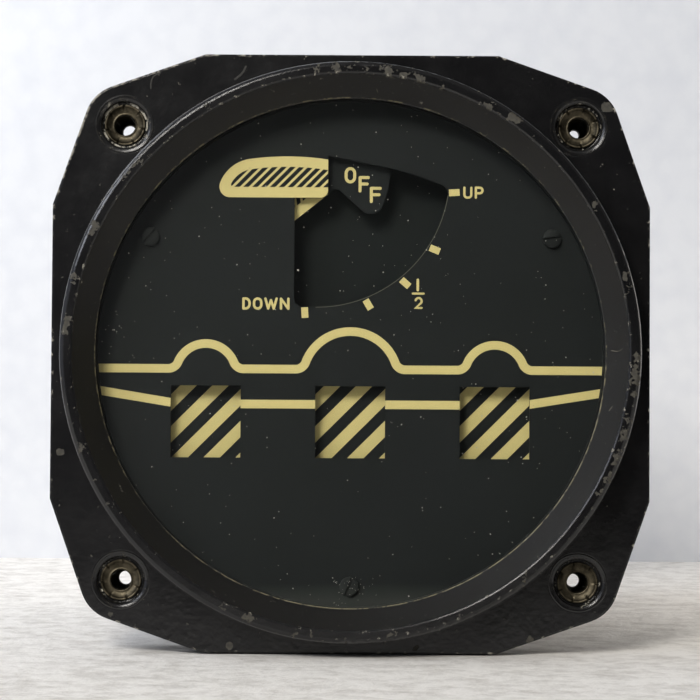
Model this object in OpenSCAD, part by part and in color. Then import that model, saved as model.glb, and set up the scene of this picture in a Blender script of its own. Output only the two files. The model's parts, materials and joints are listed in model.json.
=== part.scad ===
// Aircraft wheel and flap position indicator, 3 1/8 inch panel size.
// The front faces -Y. The flange's front face is at y = 0 and the Y axis is the indicator's axis.

/* [Flange] */
// Width across the flange
flange_w = 82.55; // [81.6:0.05:86]
// Radius of the flange's ears about their mounting holes
ear_r = 5.607; // [5.4:0.001:6]
// Slope of the edges that run from the ears to the straight stretches, in degrees
ear_slope = 19.3; // [17:0.1:21]
// Thickness of the flange
flange_t = 4.8; // [4:0.1:6]
// Spacing of the four mounting holes
hole_pitch = 62.87; // [61.5:0.01:63.5]
// Length of the threaded inserts
insert_len = 9.5; // [8:0.1:12]
// Outer diameter of the threaded inserts
insert_d = 5.7; // [5:0.1:6.2]
// Bore of the threaded inserts
insert_bore = 2.74; // [2:0.02:3.2]
// Mouth diameter of the inserts' countersink
insert_mouth = 3.7; // [3.3:0.05:4.2]
// How far the inserts lie behind the flange's face
insert_recess = 0.5; // [0.2:0.05:0.8]
// Diameter of the pocket round each insert at the flange's face
pocket_d = 7.5; // [6.9:0.1:8]
// Depth of the pocket round each insert
pocket_depth = 0.9; // [0.8:0.05:1.2]
// Gap round each insert at the bottom of its pocket
pocket_gap = 0.3; // [0.2:0.05:0.35]

/* [Bezel] */
// Outer diameter of the bezel ring
bezel_d = 79.25; // [78.6:0.05:79.6]
// Height of the bezel in front of the flange
bezel_h = 6.35; // [5.5:0.05:8]
// Width of the rim between the bezel's outside and its inner cone
rim_w = 1.6; // [1.4:0.05:2]
// Radius on the rim's outer edge
rim_round = 0.7; // [0.4:0.05:0.9]
// Radius on the ridge between rim and cone
ridge_round = 0.4; // [0.2:0.05:0.6]
// Radius where the bezel meets the flange
root_round = 0.45; // [0.3:0.05:0.5]
// Depth of the inner cone
cone_depth = 4.05; // [3.5:0.05:4.6]
// Width of the inner cone, on the radius
cone_w = 2.975; // [2.7:0.005:3.5]
// Thickness of the lip that holds the glass
lip_t = 0.5; // [0.4:0.05:0.8]

/* [Glass and dial] */
// How far the glass reaches behind the lip, on the radius
glass_lap = 1.45; // [1.2:0.05:1.6]
// Thickness of the cover glass
glass_t = 2.4; // [2:0.1:3]
// Thickness of the glass gasket
gasket_t = 0.4; // [0.3:0.05:0.6]
// Length of the spacer ring between glass and dial
spacer_len = 2.1; // [1.6:0.1:3]
// Thickness of the dial plate
dial_t = 1; // [0.8:0.1:1.4]
// Distance of the dial screws from the edge of the plates behind them
dial_screw_edge = 4; // [3.8:0.1:4.7]
// Head diameter of the dial screws
dial_head_d = 2.6; // [2.2:0.1:3]
// Height of the dial screw heads
dial_head_h = 0.8; // [0.5:0.05:1]

/* [Windows] */
// Spacing of the wheel windows
window_pitch = 20.04; // [19.9:0.02:20.2]
// Height of the wheel windows' centre line
window_z = -9.5; // [-10.5:0.1:-9]
// Width of a wheel window
window_w = 9.7; // [9:0.1:10.4]
// Height of a wheel window
window_h = 10; // [9:0.1:10.6]
// Sideways place of the flap pivot
pivot_x = -4.86; // [-6:0.02:-4]
// Height of the flap pivot
pivot_z = 24.92; // [24.4:0.02:25]
// Radius of the flap window's scale edge about the pivot
scale_r = 18.5; // [18.1:0.1:19]

/* [Markings] */
// Thickness of the printed enamel
paint_t = 0.06; // [0.04:0.01:0.1]
// Width of the aircraft's outline
line_w = 1.19; // [1:0.01:1.6]
// Height of the outline's upper line
upper_line_z = -2.2; // [-2.4:0.1:-1.8]
// Height of the outline's lower line
lower_line_z = -7.07; // [-7.4:0.01:-6.8]
// Height of the outer lower lines where they leave the windows
outer_line_z = -6.9; // [-7.2:0.05:-6.5]
// Slope of the outer lower lines, in degrees
outer_line_slope = 9.2; // [7:0.1:11]
// Radius of the small bumps of the outline
small_bump_r = 4.18; // [4:0.02:4.6]
// Radius of the middle bump of the outline
middle_bump_r = 6.63; // [6.2:0.01:7]
// How far the centre of a small bump lies below the upper line
small_bump_drop = 0.7; // [0.4:0.05:1]
// How far the centre of the middle bump lies below the upper line
middle_bump_drop = 1.37; // [1:0.01:1.6]
// Radius where a bump runs into the line
bump_fillet = 1.6; // [1.2:0.05:2]
// Length of a scale tick
tick_len = 1.47; // [1.2:0.01:2]
// Width of a scale tick
tick_w = 0.95; // [0.8:0.01:1.2]
// Length of the wing symbol
wing_len = 15.1; // [14:0.1:16]
// Width of the border round the hatching
hatch_border = 1.45; // [1.2:0.05:1.6]
// Horizontal period of the hatching
hatch_pitch = 1.233; // [1:0.001:1.5]
// Horizontal width of a dark hatch stroke
hatch_w = 0.78; // [0.6:0.01:0.9]
// Horizontal period of the stripes on the drums
stripe_pitch = 4.45; // [4:0.05:5]
// Horizontal width of a light stripe
stripe_w = 2.3; // [1.8:0.05:2.6]
// Outer diameter of the tyre symbol on the drums
tyre_d = 7; // [6:0.1:8]
// Width of the tyre symbol's ring
tyre_w = 1.5; // [1:0.1:2]

/* [Flap pointer] */
// Gap between the dial and the flap pointer
pointer_gap = 0.7; // [0.5:0.05:1]
// Thickness of the flap pointer
pointer_t = 0.4; // [0.3:0.05:0.6]
// Radius of the pointer round its pivot
pointer_root_r = 3.05; // [2.8:0.05:3.2]
// Radius of the pointer's tip
pointer_tip_r = 0.55; // [0.4:0.05:0.8]
// Distance of the tip's centre from the pivot
pointer_reach = 17.2; // [16.5:0.1:17.5]
// Travel from OFF to UP, in degrees
flap_travel = 126; // [120:1:130]
// Diameter of the pointer's hub
hub_d = 3.6; // [3:0.1:4.2]
// Length of the pointer's hub
hub_len = 2; // [1.4:0.1:2.4]
// Distance of the balance weight from the pivot
balance_reach = 6; // [5:0.1:7]
// Diameter of the balance weight
balance_d = 2.4; // [2:0.1:3]

/* [Wheel drums] */
// Side of the six-sided wheel drum
drum_side = 11.4; // [11:0.1:11.8]
// Width of a wheel drum
drum_w = 11.5; // [11:0.1:11.8]
// Wall of a wheel drum
drum_wall = 0.7; // [0.5:0.05:1]
// Gap between the dial and a drum's turning corners
drum_gap = 0.47; // [0.4:0.01:0.8]
// Diameter of the drum shafts
wheel_shaft_d = 1.5; // [1.2:0.1:1.8]

/* [Movement frame] */
// Length of the housing lugs that carry the dial and the front plate
lug_len = 4.9; // [4.7:0.1:6]
// Width of the housing lugs
lug_w = 5.2; // [4.4:0.1:6]
// Thickness of the front and rear plates
plate_t = 1.2; // [1:0.1:1.6]
// Distance between the front and rear plates
plate_gap = 22.6; // [22:0.1:26]
// Diameter of the pillars and posts
pillar_d = 4.4; // [4:0.1:5]
// Distance of the pillars from the plates' edge
pillar_edge = 3.2; // [3:0.1:3.6]
// Diameter of the opening for wires in the rear plate
wire_hole_d = 20; // [14:0.5:24]
// Thread diameter of the small screws
screw_d = 1.8; // [1.6:0.1:2]
// Head diameter of the small screws
screw_head_d = 3.4; // [3:0.1:4]
// Head height of the small screws
screw_head_h = 1.2; // [1:0.1:1.6]

/* [Flap movement] */
// Outer diameter of the flap stator's core
core_d = 19.5; // [18.6:0.1:19.6]
// Bore of the flap stator's core
core_bore = 12.8; // [12.6:0.1:13.4]
// Length of the flap stator's core
core_len = 11; // [9:0.1:12]
// Thickness of the winding over the core
winding_t = 0.8; // [0.6:0.05:0.85]
// Wall of the stator's sleeve
sleeve_t = 0.4; // [0.3:0.05:0.5]
// Diameter of the flap rotor magnet
rotor_d = 9.2; // [8:0.1:9.4]
// Length of the flap rotor magnet
rotor_len = 10; // [8:0.1:12]
// Wall of the copper damping shell
damper_t = 0.4; // [0.3:0.05:0.45]
// Diameter of the flap staff
staff_d = 1.5; // [1.2:0.1:1.8]
// Diameter of the jewel bearings
jewel_d = 3.6; // [3.2:0.1:4]

/* [Wheel movements] */
// Thickness of the wheel frames
bracket_t = 0.8; // [0.6:0.05:1]
// Half height of the wheel frames
bracket_half_h = 7; // [6.6:0.1:8]
// Outer diameter of a wheel stator
wheel_core_d = 11; // [10.4:0.1:11.2]
// Wall of a wheel stator's ring
wheel_core_t = 0.8; // [0.6:0.05:1]
// Length of a wheel stator
wheel_core_len = 4.6; // [4:0.1:5]
// Width of a stator pole
pole_w = 1.6; // [1.2:0.1:1.8]
// Diameter of a wheel magnet
wheel_magnet_d = 4.8; // [4:0.1:5]
// Thickness of the coils on the poles
coil_t = 0.8; // [0.6:0.05:0.9]

/* [Rear case] */
// Outer diameter of the rear case
case_d = 76.2; // [75.9:0.1:77]
// Wall of the rear case
case_t = 1.2; // [1:0.05:1.3]
// Distance of the case's back from the flange's face
case_back = 63.5; // [62:0.1:75]
// Thickness of the case's back
back_t = 1.6; // [1.2:0.1:2]
// Radius on the case's back edge
case_round = 2.4; // [1.8:0.1:2.6]
// Thickness of the case's rim and of its gasket
rim_t = 0.8; // [0.6:0.05:1.2]
// How far the case's rim stands out from its wall
rim_step = 0.64; // [0.6:0.01:0.7]

/* [Receptacle] */
// Side of the receptacle's square flange
recept_side = 38.1; // [37:0.1:39]
// Radius on the corners of the receptacle's flange
recept_corner_r = 3.2; // [2:0.1:4]
// Spacing of the receptacle's screws
recept_pitch = 29.36; // [28.8:0.01:30]
// Thickness of the receptacle's flange
recept_t = 3.2; // [2.5:0.1:4]
// Thread diameter of the receptacle's shell
recept_thread_d = 31.75; // [31:0.05:32.4]
// Length of the receptacle's shell behind its flange
recept_len = 14.6; // [14:0.1:18]
// Wall of the receptacle's shell
recept_wall = 1.9; // [1.5:0.05:2.2]
// Length of the receptacle inside the case
recept_rear = 7; // [6:0.1:8]
// Thread diameter of the receptacle's screws
recept_screw_d = 2.8; // [2.4:0.1:3]
// Head diameter of the receptacle's screws
recept_head_d = 5; // [4.6:0.1:5.4]
// Thickness of the receptacle's gasket
recept_gasket_t = 0.8; // [0.5:0.05:1.2]
// Diameter of a contact pin
pin_d = 1.58; // [1.2:0.02:1.8]
// Length of the pins in front of the insulator
pin_len = 7.6; // [7:0.1:8.4]
// How far inside the shell's mouth the pins end
pin_recess = 4.4; // [4.2:0.1:5]
// Length of the solder cups behind the insulator
cup_len = 3.5; // [2.5:0.1:4]
// Thickness of the terminal board
board_t = 1.6; // [1.2:0.1:2]
// Distance from the rear plate to the terminal board
board_gap = 7; // [5:0.1:9]

/* [Fits] */
// Clearance on the radius between parts that slide together
fit = 0.1; // [0.05:0.01:0.15]
// Clearance on the radius round shafts in their bearings
running_fit = 0.05; // [0.03:0.01:0.08]
// Gap beside moving parts
side_gap = 0.4; // [0.3:0.05:0.45]

/* [Hidden] */

$fn = 96;
// How far a cutting shape reaches past the surface that it opens
over = 0.1;
// How much an arc that rounds a corner is larger than its distance from the corner's sides
swell = 0.01;

// Colours
black_lacquer = "#1d1d1f";
dial_black = "#26292a";
cream = "#d9c47c";
worn_steel = "#7d7263";
dark_steel = "#3a3a3c";
aluminium = "#b9bbbd";
brass = "#b89a55";
copper = "#b26a3c";
rubber = "#2a2a2a";
phenolic = "#5a3b22";

// Front to back: radii and depths of the housing's seats
bezel_r = bezel_d / 2;
ridge_r = bezel_r - rim_w;
sight_r = ridge_r - cone_w;
glass_r = sight_r + glass_lap;
bore_r = glass_r + fit;
cone_y = cone_depth - bezel_h;
seat_y = cone_y + lip_t;
glass_y = seat_y + gasket_t;
spacer_y = glass_y + glass_t;
dial_y = spacer_y + spacer_len;
lug_y = dial_y + dial_t;
plate_y = lug_y + lug_len;
plate_back = plate_y + plate_t;
skirt_y = plate_y + plate_t / 2;
rear_plate_y = plate_back + plate_gap;
rear_plate_back = rear_plate_y + plate_t;
board_y = rear_plate_back + board_gap;
board_back = board_y + board_t;
// Part of the flange that is turned with the bezel
collar_r = bezel_r + (flange_w / 2 - bezel_r) / 2;

// Ears: their sloped edges end where they meet the flange's sides
hole = hole_pitch / 2;
flange_flat = hole + (ear_r - (flange_w / 2 - hole) * cos(ear_slope)) / sin(ear_slope);
ear_back = insert_recess + insert_len;
pocket_round = (pocket_d - insert_d) / 2 - pocket_gap;

// Rear case
case_r = case_d / 2;
case_inner_r = case_r - case_t;
rim_r = case_r + rim_step;
rim_y = skirt_y + rim_t;
case_floor = case_back - back_t;

// Plates, and the circles of screws and pillars inside their edge
plate_r = min(case_inner_r, bore_r) - side_gap;
dial_screw_r = plate_r - dial_screw_edge;
pillar_r = plate_r - pillar_edge;

// Flap scale and wing symbol, seen from the front and measured from the pivot
up_angle = 7.2;
// The ticks stand on a circle that is not quite about the pivot, and lean against its radius
tick_centre = [0.45, -0.56];
tick_r = scale_r + 0.3;
tick_angles = [5.7, 31.5, 50.5, 68.7, 96];
tick_lean = 9.5;
wing_end = 1.6;
wing_bottom = -3.26;
wing_top = 2.07;
wing_crown = [-3.94, 2.83];
wing_crown_r = 38;
nose_slope = 69;
nose_r = 1.49;
brow_r = 5.2;
tail_r = 1.07;
hatch_start = -10.43;
// Share of a bump's full fillet, which leaves a short straight between the arcs
blend = 0.95;
enamel_start = 1.2;
stripe_start = -8.75;
window_slope = 11;
window_bend = [12.3, 0.55];
window_bend_r = 43;
window_bend_slope = 20;
window_corner_r = 1.6;
window_foot_r = 1.2;

// Flap pointer at rest, in its OFF position
pointer_y = lug_y + pointer_gap;
pointer_back = pointer_y + pointer_t;
card_angle = -flap_travel - up_angle;
balance_angle = 107;
balance_arm_w = 0.8;
flag = [
    [1.4, -1.7], [3.12, -1.95], [6.9, -5.33], [8.9, -5.1], [10.1, -1.6], [10.15, 2.2], [0.5, 2.6]
];
flag_radii = [0, 0, 1.6, 1.5, 4, 1, 0];

// Wheel drums: a flat face looks forward and the corners turn clear of the dial
// Turn from one face of a drum to the next, in degrees
drum_step = 60;
drum_y = lug_y + drum_gap + drum_side;
drum_face = drum_side * cos(drum_step / 2);
drum_web = 1;
drum_hub_r = 1.7;
drum_clear_r = drum_side + side_gap;
drum_slot_half = sqrt(pow(drum_clear_r, 2) - pow(drum_y - plate_back, 2));
frame_half = drum_w / 2 + side_gap;
frame_back = drum_y + drum_clear_r;
stator_x = frame_half + bracket_t;
wheel_shaft_end = stator_x + wheel_core_len + side_gap;
wheel_ring_r = wheel_core_d / 2 - wheel_core_t;
pole_r = wheel_magnet_d / 2 + side_gap;
coil_end_t = 0.7;
coil_half = pole_w / 2 + coil_t;
coil_r = pole_r + running_fit;
coil_top = sqrt(pow(wheel_ring_r - fit, 2) - pow(coil_half, 2));
pole_angles = [0, 120, 240];

// Flap movement, centred between the plates
core_y = plate_back + (plate_gap - core_len) / 2;
rotor_y = plate_back + (plate_gap - rotor_len) / 2;
winding_r = core_d / 2 + winding_t;
winding_bore_r = core_bore / 2 - winding_t;
winding_round = 0.5;
damper_r = rotor_d / 2 + side_gap / 2;
bar_magnet = [2, 4, 1.2];

// Places round the axis, in degrees from +X towards +Z
lug_angles = [30, 150, 270];
slot_angles = [8, 50, 70];
slot_w = 0.45;
pillar_angles = [8, 172, 248, 292];
stud_r = 1.2;
tap_depth = 6;

// Receptacle
recept_y = case_back + recept_gasket_t;
recept_face = recept_y + recept_t;
recept_end = recept_face + recept_len;
socket_r = recept_thread_d / 2 - recept_wall;
barrel_r = socket_r + recept_wall / 2;
insulator_y = recept_end - pin_recess - pin_len;
insulator_back = recept_y - recept_rear;
key_w = 2.6;
key_depth = 0.9;
cup_r = pin_d * 0.8;
outer_pins = 9;
inner_pins = 5;
outer_pin_r = socket_r * 0.72;
inner_pin_r = socket_r * 0.36;
pin_places = concat(
    [for (i = [0:outer_pins - 1]) polar(outer_pin_r, 90 + (i + 0.5) * 360 / outer_pins)],
    [for (i = [0:inner_pins - 1]) polar(inner_pin_r, 90 + i * 360 / inner_pins)]
);
lug_r = 1.4;
lug_head = 0.5;
lug_tail = 2;
wire_r = 0.5;

function polar(r, a) = [r * cos(a), r * sin(a)];

// Unit vector from p to q
function towards(p, q) = (q - p) / norm(q - p);

// Where the line through p at angle a meets the line through q at angle b
function meet(p, a, q, b) =
    p + polar(1, a) * ((q.x - p.x) * sin(b) - (q.y - p.y) * cos(b)) / sin(b - a);

// Polygon drawn counter-clockwise, with a true arc of radius radii[i] at corner i
module rounded(points, radii) {
    n = len(points);
    back = [for (i = [0:n - 1]) towards(points[i], points[(i + n - 1) % n])];
    ahead = [for (i = [0:n - 1]) towards(points[i], points[(i + 1) % n])];
    turn = [for (i = [0:n - 1]) cross(ahead[i], back[i])];
    difference() {
        union() {
            polygon(points);
            for (i = [0:n - 1]) if (turn[i] < 0 && radii[i] > 0)
                corner_piece(points[i], ahead[i], back[i], radii[i]);
        }
        for (i = [0:n - 1]) if (turn[i] > 0 && radii[i] > 0)
            corner_piece(points[i], back[i], ahead[i], radii[i]);
    }
}

// What lies between a corner and the arc that rounds it, and a little beyond the corner's sides.
// The arc is slightly larger than its distance from the sides, so that it crosses them clearly.
module corner_piece(corner, back, ahead, r) {
    half = acos(back * ahead) / 2;
    inward = towards([0, 0], back + ahead);
    middle = corner + inward * r / sin(half);
    starts = [for (side = [back, ahead]) corner + side * r / tan(half)];
    difference() {
        polygon([
            middle, starts[0] + towards(middle, starts[0]) * over,
            corner - inward * over / sin(half), starts[1] + towards(middle, starts[1]) * over
        ]);
        translate(middle) circle(r + swell);
    }
}

// Extrudes an outline, drawn as seen from the front, from depth y0 to depth y1
module slab(y0, y1) {
    translate([0, y1, 0]) rotate([90, 0, 0]) linear_extrude(y1 - y0) children();
}

// Turns a profile of radius and depth about the Y axis
module turned() {
    rotate([-90, 0, 0]) rotate_extrude() children();
}

// Round bar along Y from depth y0 to depth y1, with its axis at [x, z]
module rod(r, y0, y1, at = [0, 0]) {
    translate([at.x, y0, at.y]) rotate([-90, 0, 0]) cylinder(r = r, h = y1 - y0);
}

// Flat ring along Y
module ring(outer, inner, y0, y1) {
    difference() {
        rod(outer, y0, y1);
        rod(inner, y0 - over, y1 + over);
    }
}

// Places children at each mounting hole of a square pattern
module at_corners(pitch) {
    for (x = [-0.5, 0.5]) for (z = [-0.5, 0.5]) translate([x * pitch, 0, z * pitch]) children();
}

module at_pivot() {
    translate([pivot_x, 0, pivot_z]) children();
}

// Moves an outline, drawn as seen from the front and measured from the pivot, to its place
module about_pivot() {
    translate([pivot_x, pivot_z]) children();
}

module flange_outline() {
    half = flange_w / 2;
    for (turn = [0:90:270]) rotate(turn) {
        polygon([
            [0, 0], [half, -flange_flat], [half, flange_flat],
            [hole, hole] + polar(ear_r, ear_slope),
            [hole, hole] + polar(ear_r, 90 - ear_slope),
            [flange_flat, half]
        ]);
        translate([hole, hole]) circle(ear_r);
    }
}

// Turned part of the housing: rim, inner cone, glass seat and skirt
module bezel_profile() {
    rounded(
        [
            [ridge_r, -bezel_h], [bezel_r, -bezel_h], [bezel_r, 0], [collar_r, 0],
            [collar_r, flange_t], [bezel_r, flange_t], [bezel_r, skirt_y],
            [bore_r, skirt_y], [bore_r, seat_y], [sight_r, seat_y], [sight_r, cone_y]
        ],
        [ridge_round, rim_round, root_round, 0, 0, 0, 0, 0, 0, 0, lip_t / 4]
    );
}

// Pocket round an insert, with a rounded mouth
module pocket_profile() {
    difference() {
        translate([0, -over]) square([pocket_d / 2, pocket_depth + over]);
        translate([pocket_d / 2, pocket_round]) circle(pocket_round);
        translate([pocket_d / 2 - pocket_round, pocket_round]) square(pocket_depth);
    }
}

module lug_outline() {
    circle(lug_w / 2);
    translate([0, -lug_w / 2]) square([bore_r - dial_screw_r + over, lug_w]);
}

module front_housing() {
    color(black_lacquer) difference() {
        union() {
            turned() bezel_profile();
            difference() {
                slab(0, flange_t) flange_outline();
                rod(bore_r + over, -over, flange_t + over);
            }
            at_corners(hole_pitch) rod(ear_r, flange_t - over, ear_back);
            slab(lug_y, plate_y)
                for (a = lug_angles) rotate(a) translate([dial_screw_r, 0]) lug_outline();
        }
        at_corners(hole_pitch) {
            turned() pocket_profile();
            rod(insert_d / 2, 0, ear_back + over);
        }
        for (a = lug_angles) rod(screw_d / 2, lug_y - over, plate_y + over, polar(dial_screw_r, a));
    }
}

module mounting_inserts() {
    sink = (insert_mouth - insert_bore) / 2;
    color(worn_steel) at_corners(hole_pitch) difference() {
        rod(insert_d / 2, insert_recess, ear_back);
        rod(insert_bore / 2, insert_recess - over, ear_back + over);
        translate([0, insert_recess, 0]) rotate([-90, 0, 0])
            cylinder(d1 = insert_mouth, d2 = insert_bore, h = sink);
    }
}

module cover_glass() {
    color("lightblue", 0.3) rod(glass_r, glass_y, spacer_y);
}

module glass_gasket() {
    color(rubber) ring(glass_r, sight_r, seat_y, glass_y);
}

module glass_spacer() {
    color(dial_black) ring(glass_r, sight_r, spacer_y, dial_y);
}

// Flap window: a sector about the pivot, bounded above by a bent line and by the wing symbol
module flap_window() {
    first = up_angle + 0.8;
    last = tick_angles[4] - 2;
    top = window_bend + polar(window_bend.x - wing_end, 180 - window_slope) / cos(window_slope);
    start = polar(scale_r, -first);
    end = polar(scale_r, -last);
    shoulder = meet(window_bend, -window_bend_slope, start, 90 - first);
    outside = meet(start, 90 - first, end, -last - 90);
    foot = meet(end, -last - 90, [-pointer_root_r, 0], 90);
    rounded(
        [
            foot, outside, shoulder, window_bend, top,
            [wing_end, wing_bottom], [-pointer_root_r, wing_bottom]
        ],
        [window_foot_r, scale_r, window_corner_r, window_bend_r, 0, tail_r, 0]
    );
}

module dial_plate() {
    color(dial_black) difference() {
        slab(dial_y, lug_y) difference() {
            circle(glass_r);
            for (i = [-1:1]) translate([i * window_pitch, window_z])
                square([window_w, window_h], center = true);
            about_pivot() flap_window();
        }
        for (a = lug_angles) rod(screw_d / 2 + fit, 0, lug_y + over, polar(dial_screw_r, a));
    }
}

// Corners of a bump of the aircraft's outline at x, seen with the line along z = 0. The curve
// lies at the distance shift above the middle of the line.
function bump_corners(x, r, drop, shift) = let(
    rise = asin((bump_fillet + drop) / (r + bump_fillet)),
    side = polar(r + shift, rise) - [0, drop],
    foot = meet([0, shift], 0, side, rise + 90),
    apex = (r + shift) / sin(rise) - drop
) [[x - foot.x, shift], [x, apex], [x + foot.x, shift]];

function bump_radii(r, shift) = [
    (bump_fillet - shift) * blend, r + shift, (bump_fillet - shift) * blend
];

// Corners and radii of one long edge of the aircraft's upper line, from left to right
function outline_corners(shift) = concat(
    [[-glass_r, shift]],
    bump_corners(-window_pitch, small_bump_r, small_bump_drop, shift),
    bump_corners(0, middle_bump_r, middle_bump_drop, shift),
    bump_corners(window_pitch, small_bump_r, small_bump_drop, shift),
    [[glass_r, shift]]
);

function outline_radii(shift) = concat(
    [0], bump_radii(small_bump_r, shift), bump_radii(middle_bump_r, shift),
    bump_radii(small_bump_r, shift), [0]
);

function reversed(list) = [for (i = [len(list) - 1:-1:0]) list[i]];

module upper_line() {
    half = line_w / 2;
    translate([0, upper_line_z]) rounded(
        concat(outline_corners(-half), reversed(outline_corners(half))),
        concat(outline_radii(-half), outline_radii(half))
    );
}

// Line of the outline's width from the point p to the sideways place x, at a slope
module lower_line(p, x, slope) {
    half = [0, line_w / 2 / cos(slope)];
    q = [x, p.y + (x - p.x) * tan(slope)];
    polygon([p - half, q - half, q + half, p + half]);
}

module dial_aircraft_outline() {
    edge = window_w / 2;
    color(cream) slab(dial_y - paint_t, dial_y) intersection() {
        circle(sight_r - over);
        union() {
            upper_line();
            for (side = [0, 1]) mirror([side, 0]) {
                lower_line([edge, lower_line_z], window_pitch - edge, 0);
                lower_line([window_pitch + edge, outer_line_z], glass_r, outer_line_slope);
            }
        }
    }
}

// Edges of a convex outline moved inwards, the edge after corner i by inset[i]
function moved_in(points, inset) = let(
    n = len(points),
    run = [for (i = [0:n - 1]) points[(i + 1) % n] - points[i]],
    angle = [for (r = run) atan2(r.y, r.x)],
    base = [for (i = [0:n - 1]) points[i] + polar(inset[i], angle[i] + 90)]
) [for (i = [0:n - 1]) meet(base[(i + n - 1) % n], angle[(i + n - 1) % n], base[i], angle[i])];

// Dark strokes shared by the wing symbol and, when it points UP, the flap
module hatch_strokes() {
    rise = wing_crown.y - wing_bottom;
    first = floor((wing_end - wing_len - rise - hatch_start) / hatch_pitch);
    last = ceil((pointer_reach - hatch_start) / hatch_pitch);
    for (i = [first:last]) translate([hatch_start + i * hatch_pitch, wing_bottom])
        polygon([[0, 0], [hatch_w, 0], [hatch_w + rise, rise], [rise, rise]]);
}

module wing_symbol() {
    crown_slope = atan2(wing_crown.y - wing_top, wing_end - wing_crown.x);
    foot = [wing_end - wing_len + nose_r - nose_r / tan(nose_slope / 2), wing_bottom];
    corners = [
        foot, [wing_end, wing_bottom], [wing_end, wing_top], wing_crown,
        meet(foot, nose_slope, wing_crown, crown_slope)
    ];
    inset = [hatch_border, 0, hatch_border, hatch_border, hatch_border];
    difference() {
        rounded(corners, [nose_r, tail_r, 0, wing_crown_r, brow_r]);
        intersection() {
            rounded(moved_in(corners, inset),
                [nose_r / 4, 0, 0, wing_crown_r - hatch_border, brow_r - hatch_border]);
            hatch_strokes();
        }
    }
}

module dial_wing_symbol() {
    color(cream) slab(dial_y - paint_t, dial_y) about_pivot() wing_symbol();
}

module dial_scale_ticks() {
    color(cream) slab(dial_y - paint_t, dial_y) about_pivot() translate(tick_centre)
        for (a = tick_angles) rotate(-a) translate([tick_r, 0]) rotate(tick_lean)
            square([tick_len, tick_w], center = true);
}

module dial_screws() {
    color(black_lacquer) for (i = [0:2]) {
        place = polar(dial_screw_r, lug_angles[i]);
        difference() {
            union() {
                rod(dial_head_d / 2, dial_y - dial_head_h, dial_y, place);
                rod(screw_d / 2, dial_y, lug_y + lug_len / 2 - fit, place);
            }
            translate([place.x, dial_y - dial_head_h, place.y]) rotate([0, -slot_angles[i], 0])
                cube([dial_head_d + over, dial_head_h, slot_w], center = true);
        }
    }
}

// Small screw whose head lies on the depth y and whose shank runs to the depth tip
module small_screw(place, y, tip) {
    down = sign(tip - y);
    rod(screw_head_d / 2, min(y, y - down * screw_head_h), max(y, y - down * screw_head_h), place);
    rod(screw_d / 2, min(y, tip), max(y, tip), place);
}

module front_plate() {
    color(black_lacquer) slab(plate_y, plate_back) difference() {
        circle(plate_r);
        for (i = [-1:1]) translate([i * window_pitch, window_z])
            square([2 * frame_half, 2 * drum_slot_half], center = true);
        about_pivot() circle(jewel_d / 2);
        for (a = lug_angles) translate(polar(dial_screw_r, a)) circle(screw_d / 2 + fit);
        for (a = pillar_angles) translate(polar(pillar_r, a)) circle(stud_r);
    }
}

module plate_screws() {
    color(dark_steel) for (a = lug_angles)
        small_screw(polar(dial_screw_r, a), plate_back, plate_y - lug_len / 2 + fit);
}

module plate_pillars() {
    color(aluminium) for (a = pillar_angles) {
        rod(pillar_d / 2, plate_back, rear_plate_y, polar(pillar_r, a));
        rod(stud_r, plate_y, rear_plate_back, polar(pillar_r, a));
    }
}

module rear_plate() {
    color(aluminium) slab(rear_plate_y, rear_plate_back) difference() {
        circle(plate_r);
        circle(wire_hole_d / 2);
        about_pivot() circle(jewel_d / 2);
        for (a = pillar_angles) translate(polar(pillar_r, a)) circle(stud_r);
    }
}

module board_posts() {
    color(aluminium) for (a = pillar_angles) {
        rod(pillar_d / 2, rear_plate_back, board_y, polar(pillar_r, a));
        rod(stud_r, board_y, board_back, polar(pillar_r, a));
    }
}

module flap_stator_core() {
    color(dark_steel) at_pivot() ring(core_d / 2, core_bore / 2, core_y, core_y + core_len);
}

module flap_stator_winding() {
    front = core_y - winding_t;
    back = core_y + core_len + winding_t;
    color(copper) at_pivot() turned() difference() {
        rounded(
            [
                [winding_bore_r, front], [winding_r, front],
                [winding_r, back], [winding_bore_r, back]
            ],
            [winding_round, winding_round, winding_round, winding_round]
        );
        translate([core_bore / 2, core_y]) square([(core_d - core_bore) / 2, core_len]);
    }
}

module flap_stator_sleeve() {
    color(aluminium) at_pivot() ring(winding_r + sleeve_t, winding_r, plate_back, rear_plate_y);
}

module flap_damping_shell() {
    color(copper) at_pivot() ring(damper_r + damper_t, damper_r, rotor_y, rear_plate_y);
}

module flap_jewels() {
    bore = staff_d / 2 + running_fit;
    color("firebrick") at_pivot() {
        ring(jewel_d / 2, bore, plate_y, plate_back);
        ring(jewel_d / 2, bore, rear_plate_y, rear_plate_back);
    }
}

module flap_staff() {
    color("silver") at_pivot() rod(staff_d / 2, pointer_back, rear_plate_back);
}

module flap_rotor_magnet() {
    color(dark_steel) at_pivot() ring(rotor_d / 2, staff_d / 2, rotor_y, rotor_y + rotor_len);
}

// Flap outline along +X: two round ends joined by their common tangents
module flap_outline() {
    lean = 90 - asin((pointer_root_r - pointer_tip_r) / pointer_reach);
    tip = [pointer_reach, 0];
    circle(pointer_root_r);
    translate(tip) circle(pointer_tip_r);
    polygon([
        polar(pointer_root_r, -lean), tip + polar(pointer_tip_r, -lean),
        tip + polar(pointer_tip_r, lean), polar(pointer_root_r, lean)
    ]);
}

module flap_pointer() {
    color(dial_black) at_pivot() slab(pointer_y, pointer_back) {
        rotate(card_angle) flap_outline();
        rounded(flag, flag_radii);
    }
}

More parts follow.
